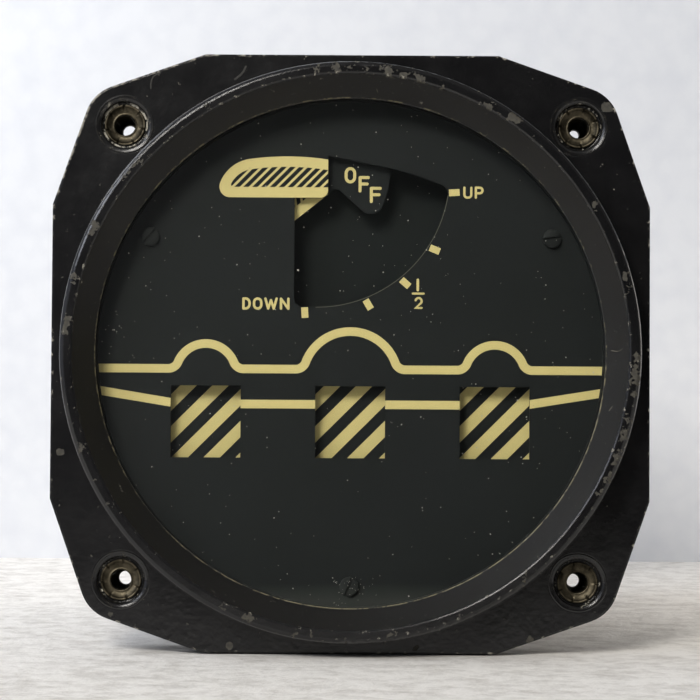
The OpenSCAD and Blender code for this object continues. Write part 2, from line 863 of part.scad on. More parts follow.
// Light enamel of the flap, in the frame in which the flap points UP, without its dark strokes
module flap_enamel() {
    taper = asin((pointer_root_r - pointer_tip_r) / pointer_reach);
    root_half = (pointer_root_r - hatch_border) / cos(taper);
    difference() {
        intersection() {
            rotate(-up_angle) flap_outline();
            translate([enamel_start, -pointer_reach / 2]) square(pointer_reach);
        }
        intersection() {
            hatch_strokes();
            rotate(-up_angle)
                polygon([[0, -root_half], [root_half / tan(taper), 0], [0, root_half]]);
        }
    }
}

module flap_hatching() {
    color(cream) at_pivot() slab(pointer_y - paint_t, pointer_y) rotate(-flap_travel) flap_enamel();
}

module flap_hub() {
    color(brass) at_pivot() ring(hub_d / 2, staff_d / 2, pointer_back, pointer_back + hub_len);
}

module flap_balance_weight() {
    color(brass) at_pivot() rotate([0, -balance_angle, 0]) {
        rod(balance_d / 2, pointer_back, pointer_back + hub_len, [balance_reach, 0]);
        difference() {
            translate([0, pointer_back, -balance_arm_w / 2])
                cube([balance_reach, balance_arm_w, balance_arm_w]);
            rod(hub_d / 2, pointer_back - over, pointer_back + hub_len);
        }
    }
}

// Places children on the axle of the left (-1), centre (0) or right (1) drum
module at_wheel(side) {
    translate([side * window_pitch, drum_y, window_z]) children();
}

// Turns an upright shape so that it lies along the axle, its bottom at x
module on_axle(x) {
    translate([x, 0, 0]) rotate([0, 90, 0]) children();
}

module wheel_frame(side) {
    cheek_len = frame_back - plate_back;
    outside = frame_half + bracket_t;
    color(aluminium) at_wheel(side) difference() {
        union() {
            for (x = [-outside, frame_half]) translate([x, plate_back - drum_y, -bracket_half_h])
                cube([bracket_t, cheek_len, 2 * bracket_half_h]);
            translate([-outside, frame_back - drum_y, -bracket_half_h])
                cube([2 * outside, bracket_t, 2 * bracket_half_h]);
        }
        on_axle(-outside - over)
            cylinder(d = wheel_shaft_d + 2 * running_fit, h = 2 * (outside + over));
    }
}

// Pole of the stator at angle a, with width w, between the radii r0 and r1
module pole(a, w, r0, r1, len) {
    rotate(a) translate([r0, -w / 2, 0]) cube([r1 - r0, w, len]);
}

module wheel_core(side) {
    pole_len = wheel_core_len - 2 * coil_end_t;
    color(dark_steel) at_wheel(side) {
        on_axle(stator_x) difference() {
            cylinder(d = wheel_core_d, h = wheel_core_len);
            translate([0, 0, -over]) cylinder(r = wheel_ring_r, h = wheel_core_len + 2 * over);
        }
        on_axle(stator_x + coil_end_t) for (a = pole_angles)
            pole(a, pole_w, pole_r, wheel_ring_r + wheel_core_t / 2, pole_len);
    }
}

module wheel_coils(side) {
    pole_len = wheel_core_len - 2 * coil_end_t;
    color(copper) at_wheel(side) difference() {
        on_axle(stator_x + fit) for (a = pole_angles)
            pole(a, 2 * coil_half, coil_r, coil_top, wheel_core_len - 2 * fit);
        on_axle(stator_x + coil_end_t) for (a = pole_angles)
            pole(a, pole_w, coil_r - over, coil_top + over, pole_len);
    }
}

module wheel_drum(side) {
    color(dial_black) at_wheel(side) on_axle(0) difference() {
        union() {
            linear_extrude(drum_w, center = true) difference() {
                circle(drum_side, $fn = 6);
                circle(drum_side - drum_wall / cos(drum_step / 2), $fn = 6);
            }
            linear_extrude(drum_web, center = true) circle(drum_side - drum_wall / 2, $fn = 6);
            cylinder(r = drum_hub_r, h = drum_w, center = true);
        }
        cylinder(d = wheel_shaft_d, h = drum_w + over, center = true);
    }
}

module wheel_shaft(side) {
    start = -frame_half - bracket_t;
    color("silver") at_wheel(side) on_axle(start)
        cylinder(d = wheel_shaft_d, h = wheel_shaft_end - start);
}

module wheel_magnet(side) {
    len = wheel_core_len - 2 * coil_end_t;
    color(dark_steel) at_wheel(side) on_axle(stator_x + coil_end_t) difference() {
        cylinder(d = wheel_magnet_d, h = len);
        translate([0, 0, -over]) cylinder(d = wheel_shaft_d, h = len + 2 * over);
    }
}

// Light stripes of a drum face, rising to the right at 45 degrees
module stripes() {
    count = ceil((drum_w + drum_side) / stripe_pitch);
    intersection() {
        square([drum_w, drum_side], center = true);
        for (i = [-1:count - 1])
            translate([stripe_start + i * stripe_pitch - drum_side / 2, -drum_side / 2])
                polygon([
                    [0, 0], [stripe_w, 0],
                    [stripe_w + drum_side, drum_side], [drum_side, drum_side]
                ]);
    }
}

module tyre_symbol() {
    difference() {
        circle(d = tyre_d);
        circle(d = tyre_d - 2 * tyre_w);
    }
    circle(d = tyre_w);
}

// Stripes on the face that looks forward, tyre on the face above it
module drum_markings(side) {
    color(cream) at_wheel(side) {
        slab(-drum_face - paint_t, -drum_face) stripes();
        rotate([-drum_step, 0, 0]) slab(-drum_face - paint_t, -drum_face) tyre_symbol();
    }
}

// Small bar magnets that turn the unpowered drums and the flap to their rest positions
module pull_off_magnets() {
    color(dark_steel) {
        for (side = [-1:1]) at_wheel(side)
            translate([stator_x, -bar_magnet.y / 2, wheel_core_d / 2 + fit]) cube(bar_magnet);
        at_pivot() translate([(damper_r + winding_r) / 2, rear_plate_y - bar_magnet.x, 0])
            translate([0, 0, -bar_magnet.y / 2])
                cube([bar_magnet.z, bar_magnet.x, bar_magnet.y]);
    }
}

module terminal_board() {
    color(phenolic) slab(board_y, board_back) difference() {
        circle(plate_r);
        for (a = pillar_angles) translate(polar(pillar_r, a)) circle(stud_r);
        for (p = pin_places) translate(p) circle(pin_d / 2);
    }
}

module terminal_lugs() {
    color(brass) for (p = pin_places) {
        rod(pin_d / 2, board_y - lug_tail, board_back + lug_tail, p);
        rod(lug_r, board_back, board_back + lug_head, p);
    }
}

module pin_wires() {
    color("white") for (p = pin_places)
        rod(wire_r, board_back + lug_tail, insulator_back - cup_len, p);
}

module case_profile() {
    rounded(
        [
            [case_inner_r, rim_y], [rim_r, rim_y], [rim_r, rim_y + rim_t],
            [case_r, rim_y + rim_t], [case_r, case_back], [barrel_r + fit, case_back],
            [barrel_r + fit, case_floor], [case_inner_r, case_floor]
        ],
        [0, 0, rim_t / 4, rim_t / 3, case_round, 0, 0, case_round - case_t]
    );
}

module rear_case() {
    color(black_lacquer) difference() {
        turned() case_profile();
        for (a = pillar_angles)
            rod(screw_d / 2 + fit, case_floor - over, case_back + over, polar(pillar_r, a));
        at_corners(recept_pitch) rod(recept_screw_d / 2, case_floor - over, case_back + over);
    }
}

module case_gasket() {
    color(rubber) ring(rim_r, case_inner_r, skirt_y, rim_y);
}

module case_posts() {
    color(aluminium) for (a = pillar_angles) difference() {
        rod(pillar_d / 2, board_back, case_floor, polar(pillar_r, a));
        rod(screw_d / 2, case_floor - tap_depth, case_floor + over, polar(pillar_r, a));
    }
}

module case_screws() {
    color(dark_steel) for (a = pillar_angles)
        small_screw(polar(pillar_r, a), case_back, case_floor - tap_depth + 2 * fit);
}

module receptacle_outline() {
    half = recept_side / 2;
    rounded(
        [[-half, -half], [half, -half], [half, half], [-half, half]],
        [recept_corner_r, recept_corner_r, recept_corner_r, recept_corner_r]
    );
}

module receptacle_shell() {
    color(aluminium) difference() {
        union() {
            slab(recept_y, recept_face) receptacle_outline();
            rod(recept_thread_d / 2, recept_face, recept_end);
            rod(barrel_r, insulator_back, recept_y);
        }
        rod(socket_r, insulator_back - over, recept_end + over);
        translate([-key_w / 2, insulator_y, 0])
            cube([key_w, recept_end - insulator_y + over, socket_r + key_depth]);
        at_corners(recept_pitch) rod(recept_screw_d / 2 + fit, recept_y - over, recept_face + over);
    }
}

module receptacle_insulator() {
    color(phenolic) difference() {
        rod(socket_r, insulator_back, insulator_y);
        for (p = pin_places) rod(pin_d / 2, insulator_back - over, insulator_y + over, p);
    }
}

module contact_pins() {
    nose = recept_end - pin_recess - pin_d / 2;
    color(brass) for (p = pin_places) {
        rod(pin_d / 2, insulator_back, nose, p);
        translate([p.x, nose, p.y]) sphere(d = pin_d);
        rod(cup_r, insulator_back - cup_len, insulator_back, p);
    }
}

module receptacle_gasket() {
    color(rubber) difference() {
        slab(case_back, recept_y) receptacle_outline();
        rod(barrel_r + fit, case_back - over, recept_y + over);
        at_corners(recept_pitch) rod(recept_screw_d / 2 + fit, case_back - over, recept_y + over);
    }
}

module receptacle_screws() {
    color(dark_steel) at_corners(recept_pitch) {
        rod(recept_head_d / 2, recept_face, recept_face + screw_head_h);
        rod(recept_screw_d / 2, case_floor, recept_face);
    }
}

front_housing();
mounting_inserts();
cover_glass();
glass_gasket();
glass_spacer();
dial_plate();
dial_aircraft_outline();
dial_wing_symbol();
dial_scale_ticks();
dial_screws();
front_plate();
plate_screws();
plate_pillars();
rear_plate();
board_posts();
flap_stator_core();
flap_stator_winding();
flap_stator_sleeve();
flap_damping_shell();
flap_jewels();
flap_staff();
flap_rotor_magnet();
flap_pointer();
flap_hatching();
flap_hub();
flap_balance_weight();
wheel_frame(-1);  // left_wheel_frame
wheel_core(-1);  // left_wheel_core
wheel_coils(-1);  // left_wheel_coils
wheel_drum(-1);  // left_wheel_drum
wheel_shaft(-1);  // left_wheel_shaft
wheel_magnet(-1);  // left_wheel_magnet
drum_markings(-1);  // left_drum_markings
wheel_frame(0);  // centre_wheel_frame
wheel_core(0);  // centre_wheel_core
wheel_coils(0);  // centre_wheel_coils
wheel_drum(0);  // centre_wheel_drum
wheel_shaft(0);  // centre_wheel_shaft
wheel_magnet(0);  // centre_wheel_magnet
drum_markings(0);  // centre_drum_markings
wheel_frame(1);  // right_wheel_frame
wheel_core(1);  // right_wheel_core
wheel_coils(1);  // right_wheel_coils
wheel_drum(1);  // right_wheel_drum
wheel_shaft(1);  // right_wheel_shaft
wheel_magnet(1);  // right_wheel_magnet
drum_markings(1);  // right_drum_markings
pull_off_magnets();
terminal_board();
terminal_lugs();
pin_wires();
rear_case();
case_gasket();
case_posts();
case_screws();
receptacle_shell();
receptacle_insulator();
contact_pins();
receptacle_gasket();
receptacle_screws();
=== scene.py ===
import json
import math
import random
from functools import partial

import bmesh
import bpy
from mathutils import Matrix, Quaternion, Vector


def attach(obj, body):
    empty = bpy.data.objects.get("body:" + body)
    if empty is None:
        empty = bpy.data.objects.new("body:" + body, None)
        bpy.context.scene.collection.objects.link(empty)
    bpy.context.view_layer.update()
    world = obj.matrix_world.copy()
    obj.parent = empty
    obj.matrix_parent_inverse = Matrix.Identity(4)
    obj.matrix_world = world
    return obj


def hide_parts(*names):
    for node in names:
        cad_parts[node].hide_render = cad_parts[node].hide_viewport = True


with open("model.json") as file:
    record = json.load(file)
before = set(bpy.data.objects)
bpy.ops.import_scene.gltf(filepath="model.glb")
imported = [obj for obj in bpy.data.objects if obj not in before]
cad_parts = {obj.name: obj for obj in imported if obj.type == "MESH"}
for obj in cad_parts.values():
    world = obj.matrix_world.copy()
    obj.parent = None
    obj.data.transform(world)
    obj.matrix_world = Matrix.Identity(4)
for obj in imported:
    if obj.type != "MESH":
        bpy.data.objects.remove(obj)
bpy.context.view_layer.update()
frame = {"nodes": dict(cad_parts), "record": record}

nodes = frame["nodes"]
mm = 0.001  # sizes below are in millimetres and become metres where they are used


def hexColour(text):  # sRGB hex to the linear colour that shaders take
    parts = [int(text[i:i + 2], 16) / 255 for i in (1, 3, 5)]
    return [p / 12.92 if p <= 0.04045 else ((p + 0.055) / 1.055) ** 2.4 for p in parts] + [1.0]


def addNode(tree, kind, inputs=(), mode=None, stops=(), **settings):
    # A node with its settings and links. Inputs go by order or by name; a node among them links
    # its output, and a hex colour becomes linear. The mode is a Mix node's data type and another
    # node's operation. MapRange takes its value, from low, from high, to low and to high.
    node = tree.nodes.new("ShaderNode" + kind)
    if mode:
        setattr(node, "data_type" if kind == "Mix" else "operation", mode)
    for name, value in settings.items():
        setattr(node, name, value)
    for key, value in (inputs.items() if isinstance(inputs, dict) else enumerate(inputs)):
        if isinstance(value, bpy.types.Node):
            value = next(socket for socket in value.outputs if socket.enabled)
        if isinstance(value, bpy.types.NodeSocket):
            tree.links.new(value, node.inputs[key])
        else:
            value = hexColour(value) if isinstance(value, str) else value
            node.inputs[key].default_value = value
    if stops:
        ramp = node.color_ramp.elements
        ramp.remove(ramp[-1])
        ramp[0].position, ramp[0].color = 0, (0, 0, 0, 1)
        for position, colour in stops:
            ramp.new(min(max(position, 0), 1)).color = colour
    return node


def newFinish(name):  # an empty material and addNode for its tree
    material = bpy.data.materials.new(name)
    material.use_nodes = True
    material.node_tree.nodes.clear()
    return material, partial(addNode, material.node_tree)


def polar(radius, degrees):
    angle = math.radians(degrees)
    return radius * math.cos(angle), radius * math.sin(angle)


def arcPoints(centre, radiusX, radiusZ, start, end, steps):
    around = [polar(1, start + (end - start) * i / steps) for i in range(steps + 1)]
    return [(centre[0] + radiusX * x, centre[1] + radiusZ * z) for x, z in around]


def makePiece(name, shape, material, body=None, slot=None, smoothAngle=None):
    mesh = bpy.data.meshes.new(name)
    mesh.from_pydata([Vector(v) * mm for v in shape.verts], [], shape.faces)
    mesh.validate()
    shell = bmesh.new()
    shell.from_mesh(mesh)
    bmesh.ops.recalc_face_normals(shell, faces=shell.faces)
    shell.to_mesh(mesh)
    shell.free()
    piece = bpy.data.objects.new(name, mesh)
    bpy.context.scene.collection.objects.link(piece)
    piece.data.materials.append(material)
    smoothPiece(piece, smoothAngle)
    if body:
        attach(piece, body)
    return piece


def smoothPiece(piece, smoothAngle):  # soft shading that breaks at edges sharper than the angle
    if smoothAngle is not None:
        piece.data.shade_smooth()
        piece.data.set_sharp_from_angle(angle=math.radians(smoothAngle))


def cutAway(piece, shape, smoothAngle):  # takes the closed solids of a shape out of a piece
    cutter = makePiece(piece.name + "Cutter", shape, piece.data.materials[0])
    step = piece.modifiers.new("cut", "BOOLEAN")
    step.operation, step.solver, step.object = "DIFFERENCE", "EXACT", cutter
    seen = piece.evaluated_get(bpy.context.evaluated_depsgraph_get())
    mesh = bpy.data.meshes.new_from_object(seen)
    piece.modifiers.clear()
    piece.data = mesh
    bpy.data.objects.remove(cutter)
    smoothPiece(piece, smoothAngle)


def turnedRings(section, centre, steps, adjust=None):  # a section of (radius, y) turned about Y
    rings = []
    for radius, depth in section:
        ring = []
        for step in range(steps):
            degrees = 360 * step / steps
            r, y = adjust(radius, depth, degrees) if adjust else (radius, depth)
            x, z = polar(r, degrees)
            ring.append((centre[0] + x, y, centre[1] + z))
        rings.append(ring)
    return rings


class Shape:  # collects rings and strips of points in millimetres into one mesh
    def __init__(self):
        self.verts, self.faces = [], []

    def addRings(self, rings, loop=False, caps=False):  # rings of equal length, joined in order
        first, count = len(self.verts), len(rings[0])
        for ring in rings:
            self.verts += ring
        pairs = [(i, (i + 1) % len(rings)) for i in range(len(rings) if loop else len(rings) - 1)]
        for a, b in pairs:
            for j in range(count):
                k = (j + 1) % count
                self.faces.append((first + a * count + j, first + b * count + j,
                                   first + b * count + k, first + a * count + k))
        if caps:
            self.faces.append([first + j for j in range(count)])
            last = first + (len(rings) - 1) * count
            self.faces.append([last + j for j in reversed(range(count))])

    def addBox(self, centre, size, turn, y0, y1):  # a slab turned in the XZ plane, from y0 to y1
        along, across = Vector(polar(size[0] / 2, turn)), Vector(polar(size[1] / 2, turn + 90))
        corners = [along + across, across - along, -along - across, along - across]
        self.addRings([[(centre[0] + c.x, y, centre[1] + c.y) for c in corners]
                       for y in (y0, y1)], caps=True)

    def addStroke(self, points, width, place, closed=False):  # a slab along a round pen stroke
        count = len(points)
        stations = []
        for i, point in enumerate(points):
            before = points[i - 1] if i or closed else None
            after = points[(i + 1) % count] if i < count - 1 or closed else None
            runs = [(Vector(b) - Vector(a)).normalized()
                    for a, b in ((before, point), (point, after)) if a and b]
            along = sum(runs, Vector((0, 0))).normalized()
            reach = width / 2 / max(0.5, abs(along.dot(runs[0])))
            stations.append((Vector(point), Vector((-along.y, along.x)), reach))
        if not closed:  # round ends
            ends = []
            for (point, across, reach), sign in ((stations[0], -1), (stations[-1], 1)):
                along = Vector((across.y, -across.x)) * sign
                ends.append([(point + along * polar(width / 2, t)[1], across,
                              polar(width / 2, t)[0]) for t in (25, 50, 72)])
            stations = ends[0][::-1] + stations + ends[1]
        rings = []
        for point, across, reach in stations:
            left, right = point + across * reach, point - across * reach
            rings.append([place(left.x, left.y, 0), place(right.x, right.y, 0),
                          place(right.x, right.y, 1), place(left.x, left.y, 1)])
        self.addRings(rings, loop=closed, caps=not closed)


def speckMask(add, coords, cellMm, speckMm, share):  # round specks in a share of the cells
    cells = add("TexVoronoi", {"Vector": coords, "Scale": 1 / (cellMm * mm)})
    chosen = add("SeparateColor", (cells.outputs["Color"],)).outputs
    size = add("MapRange", (chosen[1], 0, 1, 0.25 * speckMm / cellMm, speckMm / cellMm))
    near = add("Math", (cells, size), "LESS_THAN")
    picked = add("Math", (chosen[0], share), "LESS_THAN")
    return add("Math", (near, picked), "MULTIPLY")


enamelLook = {
    "colour": "#0b0b0c", "greyed": "#131314", "cone": "#0d0c0c", "coneDust": "#161513",
    "dust": "#8a867d", "primer": "#1f1c17", "metal": "#38352c", "bright": "#b9b4a6",
    "lipMetalAndGlint": "#7f785d", "coneRoughness": 0.3, "bareRoughness": 0.7,
    # how the gloss follows the clouds: noise from and to, roughness from and to
    "gloss": (0.3, 0.7, 0.11, 0.21), "castWaveMm": 5.0, "orangePeelMm": 0.9, "waveHeight": 2.2,
    "reliefMm": 0.008, "cloudMm": 9, "fineMm": 0.9, "toneMm": 0.45, "tone": (0.3, 0.62),
    "paintMm": 0.04, "specks": (1.1, 0.05, 0.4),  # cell, size and share of the cells
    "ringEdge": 0.25, "flangeEdge": 0.4,  # how round the paint makes the edges
    # how far wear reaches from an edge, how sharp the edge is, how strong it is, and between
    # which values it goes to primer and then to pale metal, which is also a painted glint
    "wearReach": 0.55, "wearTurn": (0.997, 0.93), "wear": 0.12, "worn": (0.67, 0.69),
    "rubbedGlint": (0.71, 0.74),
    # y where the flange and the ring begin, then the radius of the ridge and of the lip
    "flangeFront": (-0.12, -0.02), "ringFront": (-1.9, -2.1), "ridge": 37.93, "ridgeSoft": 0.1,
    "lip": 35.18, "lipSoft": 0.06, "lipWearAndGlint": 0.3, "lipWearAndGlintRange": (0.6, 0.68),
    # chips on the ring: degrees clockwise from the top, radius, length in degrees, height in mm
    "ringChips": [
        (3.0, 38.5, 2.0, 0.8), (7.2, 38.6, 3.6, 1.1), (10.8, 38.4, 2.3, 0.9),
        (13.7, 38.4, 2.8, 1.3), (18.9, 38.0, 1.0, 0.4), (28.9, 38.3, 2.2, 0.7),
        (34.6, 38.8, 4.0, 1.2), (58.8, 38.7, 1.6, 1.1), (74.0, 38.8, 2.4, 0.8),
        (77.0, 38.4, 1.8, 0.6), (90.8, 38.6, 2.4, 0.8), (94.4, 38.65, 5.0, 1.2),
        (98.2, 38.9, 1.6, 0.8), (103.4, 38.2, 2.2, 0.6), (106.4, 38.7, 3.0, 0.8),
        (111.6, 38.6, 4.0, 0.9), (116.1, 38.7, 2.6, 0.7), (119.4, 38.4, 1.2, 1.0),
        (130.0, 38.8, 0.8, 0.5), (142.3, 38.9, 1.1, 0.9), (157.5, 38.2, 1.0, 0.6),
        (171.8, 38.5, 1.5, 0.9), (180.8, 39.3, 1.8, 0.4), (187.3, 38.4, 0.9, 0.5),
        (190.8, 38.1, 1.2, 0.4), (200.4, 38.8, 3.3, 1.1), (206.3, 38.3, 1.5, 0.9),
        (237.6, 38.1, 0.9, 0.5), (242.6, 38.4, 1.2, 0.6), (250.3, 38.5, 1.8, 1.0),
        (254.7, 38.0, 1.0, 0.8), (275.0, 38.8, 5.0, 1.0), (284.5, 38.4, 3.0, 0.9),
        (295.3, 38.6, 3.4, 1.1), (307.4, 38.4, 1.4, 0.7), (311.5, 38.4, 3.2, 0.6),
        (329.4, 38.3, 1.2, 0.6), (352.6, 38.4, 1.7, 0.8), (356.9, 38.5, 3.4, 1.2),
        (359.6, 38.4, 1.4, 0.9)],
    # how much paint the lip beside the glass lost, and how bright its painted highlight is, in
    # degrees clockwise from the top
    "lipWearAndGlintTurn": [(0, 0.5), (25, 0.35), (45, 0.15), (100, 0.45), (120, 0.75), (150, 0.7),
                (172, 0.45), (186, 0.85), (200, 0.5), (230, 0.35), (262, 0.45), (290, 0.4),
                (325, 0.45), (360, 0.5)],
    # bare spots on the flange: x, z and size
    "flangeChips": [(35.3, 34.2, 0.75), (-39.9, -13.9, 0.5), (24.9, -39.4, 0.55),
                    (-32.8, -36.2, 0.4), (38.7, -29.5, 0.4), (-16.3, -40.4, 0.5),
                    (9.2, -40.5, 0.4)],
    "chipRagged": 2.2, "spotRagged": 0.7, "shakeMm": 0.6, "shake": 0.014,
    # where the flange's front edge is worn most and lit most, a painted highlight on the upper
    # left: a place, how far around it, how much more
    "wornAndLitCorner": (-30, 0, 34), "wornAndLitReach": (24, 8), "wornAndLitAmount": 0.11, "frontEdge": 1.2,
    "pocket": 31.435, "pocketTurning": (2.95, 4.15), "toolMarkMm": 0.34, "toolMarkDrift": 9.0,
    "grooveHeight": 0.5, "scoring": 0.12, "scored": (0.56, 0.72, 0, 0.4),
}


def ringChipMask(add, turn, radius, noise, look):  # how far inside a chip; 0 at its outline
    # Ramps along the turn hold each chip: red is its half height plus outside, over widest, and
    # green its middle radius less innermost, over span. A ramp has room for seven chips.
    chips, total, perRamp = look["ringChips"], None, 7
    innermost, span, outside, widest = 37, 3, 0.75, 2
    for first in range(0, len(chips), perRamp):
        group = chips[first:first + perRamp]
        start, end = group[0][0] - group[0][2], group[-1][0] + group[-1][2]
        points = []
        for degrees, middle, length, height in group:
            share = (height / 2 + outside) / widest
            for edge, value in ((-0.5, 0), (-0.25, share), (0.3, share), (0.5, 0)):
                at = (degrees + edge * length - start) / (end - start)
                points.append((at, (value, (middle - innermost) / span, 0, 1)))
        within = add("MapRange", (turn, start / 360, end / 360))
        ramp = add("ValToRGB", (within,), stops=points)
        total = add("VectorMath", (total, ramp), "MAXIMUM") if total else ramp
    share, middle, _ = add("SeparateColor", (total,)).outputs
    middle = add("Math", (middle, span * mm, innermost * mm), "MULTIPLY_ADD")
    off = add("Math", (radius, middle), "SUBTRACT")
    off = add("Math", (off,), "ABSOLUTE")
    half = add("Math", (share, widest * mm, -outside * mm), "MULTIPLY_ADD")
    half = add("Math", (half, off), "SUBTRACT")
    ragged = add("Math", (
        noise, 2 * look["chipRagged"] * mm, -look["chipRagged"] * mm), "MULTIPLY_ADD")
    return add("Math", (half, ragged), "ADD")


def chippedEnamel(name, look, front):
    # Black stove enamel, baked on cast metal: deep black with a hard gloss that waves with the
    # casting, flaked off the ring to brown primer and bare metal, rubbed through on sharp edges to
    # pale metal that is also a painted glint, most on the upper left where the light falls.
    material, add = newFinish(name)
    coords = add("TexCoord").outputs["Object"]
    x, y, z = add("SeparateXYZ", (coords,)).outputs
    cloud, fine, peel, waves = [add("TexNoise", {
        "Vector": coords, "Scale": 1 / (look[size] * mm), "Detail": detail, "Roughness": broken})
        for size, detail, broken in (("cloudMm", 6, 0.65), ("fineMm", 6, 0.62),
                                     ("orangePeelMm", 1, 0.5), ("castWaveMm", 2, 0.5))]
    height = add("Math", (waves, look["waveHeight"], peel), "MULTIPLY_ADD")
    colour = add("Mix", {0: cloud, 6: look["colour"], 7: look["greyed"]}, "RGBA")
    colour = add("Mix", {
        0: speckMask(add, coords, *look["specks"]), 6: colour, 7: look["dust"]}, "RGBA")
    gloss = add("MapRange", (cloud, *look["gloss"]))
    # the front edge of the flange is rounder and more worn than the turned ring, its pale wear
    # partly painted glint
    onFlange = add("MapRange", (y, *[at * mm for at in look["flangeFront"]]))
    before = add("Math", (y, look["frontEdge"] * mm), "LESS_THAN")
    onFlange = add("Math", (onFlange, before), "MULTIPLY")
    roundness = add("MapRange", (onFlange, 0, 1, look["ringEdge"] * mm, look["flangeEdge"] * mm))
    softEdge = add("Bevel", {"Radius": roundness}, samples=4)
    # paint worn through on sharp edges, found by how far a rounded edge turns the surface
    rounded = add("Bevel", {"Radius": look["wearReach"] * mm}, samples=4)
    surface = add("NewGeometry")
    turned = add("VectorMath", (rounded, surface.outputs["Normal"]), "DOT_PRODUCT")
    edge = add("MapRange", (turned, *look["wearTurn"]))
    # most pale wear on the upper left of the flange: partly wear, partly painted highlight where
    # the light falls
    wornAndLitCorner = add("VectorMath", (coords, Vector(look["wornAndLitCorner"]) * mm), "DISTANCE")
    far, near = look["wornAndLitReach"]
    wornAndLitCorner = add("MapRange", (wornAndLitCorner, far * mm, near * mm, 0, look["wornAndLitAmount"]))
    amount = add("Math", (wornAndLitCorner, onFlange, look["wear"]), "MULTIPLY_ADD")
    wear = add("Math", (edge, amount, fine), "MULTIPLY_ADD")
    worn, rubbedGlint = [add("MapRange", (wear, *look[part])) for part in ("worn", "rubbedGlint")]
    tone = add("TexNoise", {"Vector": coords, "Scale": 1 / (look["toneMm"] * mm), "Detail": 3})
    tone = add("MapRange", (tone, *look["tone"]))
    under = add("Mix", {0: tone, 6: look["primer"], 7: look["metal"]}, "RGBA")
    under = add("Mix", {0: rubbedGlint, 6: under, 7: look["bright"]}, "RGBA")
    bare = worn
    if front:
        flat = add("CombineXYZ", {0: x, 2: z})
        radius = add("VectorMath", (flat,), "LENGTH")
        turn = add("Math", (x, z), "ARCTAN2")
        turn = add("Math", (turn, 1 / (2 * math.pi), 1.0), "MULTIPLY_ADD")
        turn = add("Math", (turn,), "FRACT")
        forward = add("MapRange", (y, *[at * mm for at in look["ringFront"]]))
        # the cone inside the ridge is flatter and dustier
        inside = add("MapRange", (
            radius, look["ridge"] * mm, (look["ridge"] - look["ridgeSoft"]) * mm))
        cone = add("Math", (forward, inside), "MULTIPLY")
        dusty = add("Mix", {0: cloud, 6: look["cone"], 7: look["coneDust"]}, "RGBA")
        colour = add("Mix", {0: cone, 6: colour, 7: dusty}, "RGBA")
        gloss = add("Mix", {0: cone, 2: gloss, 3: look["coneRoughness"]})
        # chips, with their outlines shaken and ragged
        uneven = add("TexNoise", {
            "Vector": coords, "Scale": 1 / (look["shakeMm"] * mm), "Detail": 3},
            noise_dimensions="4D")
        shaken = add("Math", (turn, look["shake"] / 2), "SUBTRACT")
        shaken = add("Math", (uneven, look["shake"], shaken), "MULTIPLY_ADD")
        inChip = add("Math", (ringChipMask(add, shaken, radius, fine, look), forward), "MULTIPLY")
        for chipX, chipZ, size in look["flangeChips"]:
            away = add("VectorMath", (flat, (chipX * mm, 0, chipZ * mm)), "DISTANCE")
            ragged = add("Math", (
                fine, 2 * look["spotRagged"] * mm, (size - look["spotRagged"]) * mm),
                "MULTIPLY_ADD")
            inSpot = add("Math", (ragged, away), "SUBTRACT")
            inChip = add("Math", (inChip, inSpot), "MAXIMUM")
        chip = add("MapRange", (inChip, 0, look["paintMm"] * mm))
        # the lip beside the glass, rubbed to pale metal in dashes, with a painted highlight where
        # it catches the light
        lip = add("ValToRGB", (turn,), stops=[
            (degrees / 360, (share, share, share, 1)) for degrees, share in look["lipWearAndGlintTurn"]])
        lip = add("Math", (lip, look["lipWearAndGlint"], fine), "MULTIPLY_ADD")
        lip = add("MapRange", (lip, *look["lipWearAndGlintRange"]))
        atLip = add("MapRange", (
            radius, look["lip"] * mm, (look["lip"] - look["lipSoft"]) * mm))
        atLip = add("Math", (atLip, forward), "MULTIPLY")
        lip = add("Math", (lip, atLip), "MULTIPLY")
        under = add("Mix", {0: lip, 6: under, 7: look["lipMetalAndGlint"]}, "RGBA")
        bare = add("Math", (chip, worn), "MAXIMUM")
        bare = add("Math", (bare, lip), "MAXIMUM")
        # tool marks turned around each mounting pocket
        fromX, fromZ = [add("Math", (
            add("Math", (side,), "ABSOLUTE"), look["pocket"] * mm), "SUBTRACT") for side in (x, z)]
        corner = add("CombineXYZ", {0: fromX, 2: fromZ})
        fromHole = add("VectorMath", (corner,), "LENGTH")
        drift = add("Math", (cloud, look["toolMarkDrift"]), "MULTIPLY")
        marks = add("Math", (
            fromHole, 2 * math.pi / (look["toolMarkMm"] * mm), drift), "MULTIPLY_ADD")
        marks = add("Math", (marks,), "SINE")
        inner, outer = look["pocketTurning"]
        outside = add("Math", (fromHole, inner * mm), "GREATER_THAN")
        within = add("Math", (fromHole, outer * mm), "LESS_THAN")
        near = add("Math", (outside, within), "MULTIPLY")
        grooves = add("Math", (marks, near), "MULTIPLY")
        height = add("Math", (grooves, look["grooveHeight"], height), "MULTIPLY_ADD")
        scored = add("Math", (marks, look["scoring"], fine), "MULTIPLY_ADD")
        scored = add("MapRange", (scored, *look["scored"]))
        scored = add("Math", (scored, near), "MULTIPLY")
        colour = add("Mix", {0: scored, 6: colour, 7: look["metal"]}, "RGBA")
    colour = add("Mix", {0: bare, 6: colour, 7: under}, "RGBA")
    gloss = add("Mix", {0: bare, 2: gloss, 3: look["bareRoughness"]})
    relief = add("Bump", {"Height": height, "Distance": look["reliefMm"] * mm, "Normal": softEdge})
    steps = add("Bump", {
        "Height": bare, "Distance": look["paintMm"] * mm, "Normal": relief}, invert=True)
    shader = add("BsdfPrincipled", {
        "Base Color": colour, "Roughness": gloss, "IOR": 1.5, "Normal": steps})
    add("OutputMaterial", (shader,))
    return material


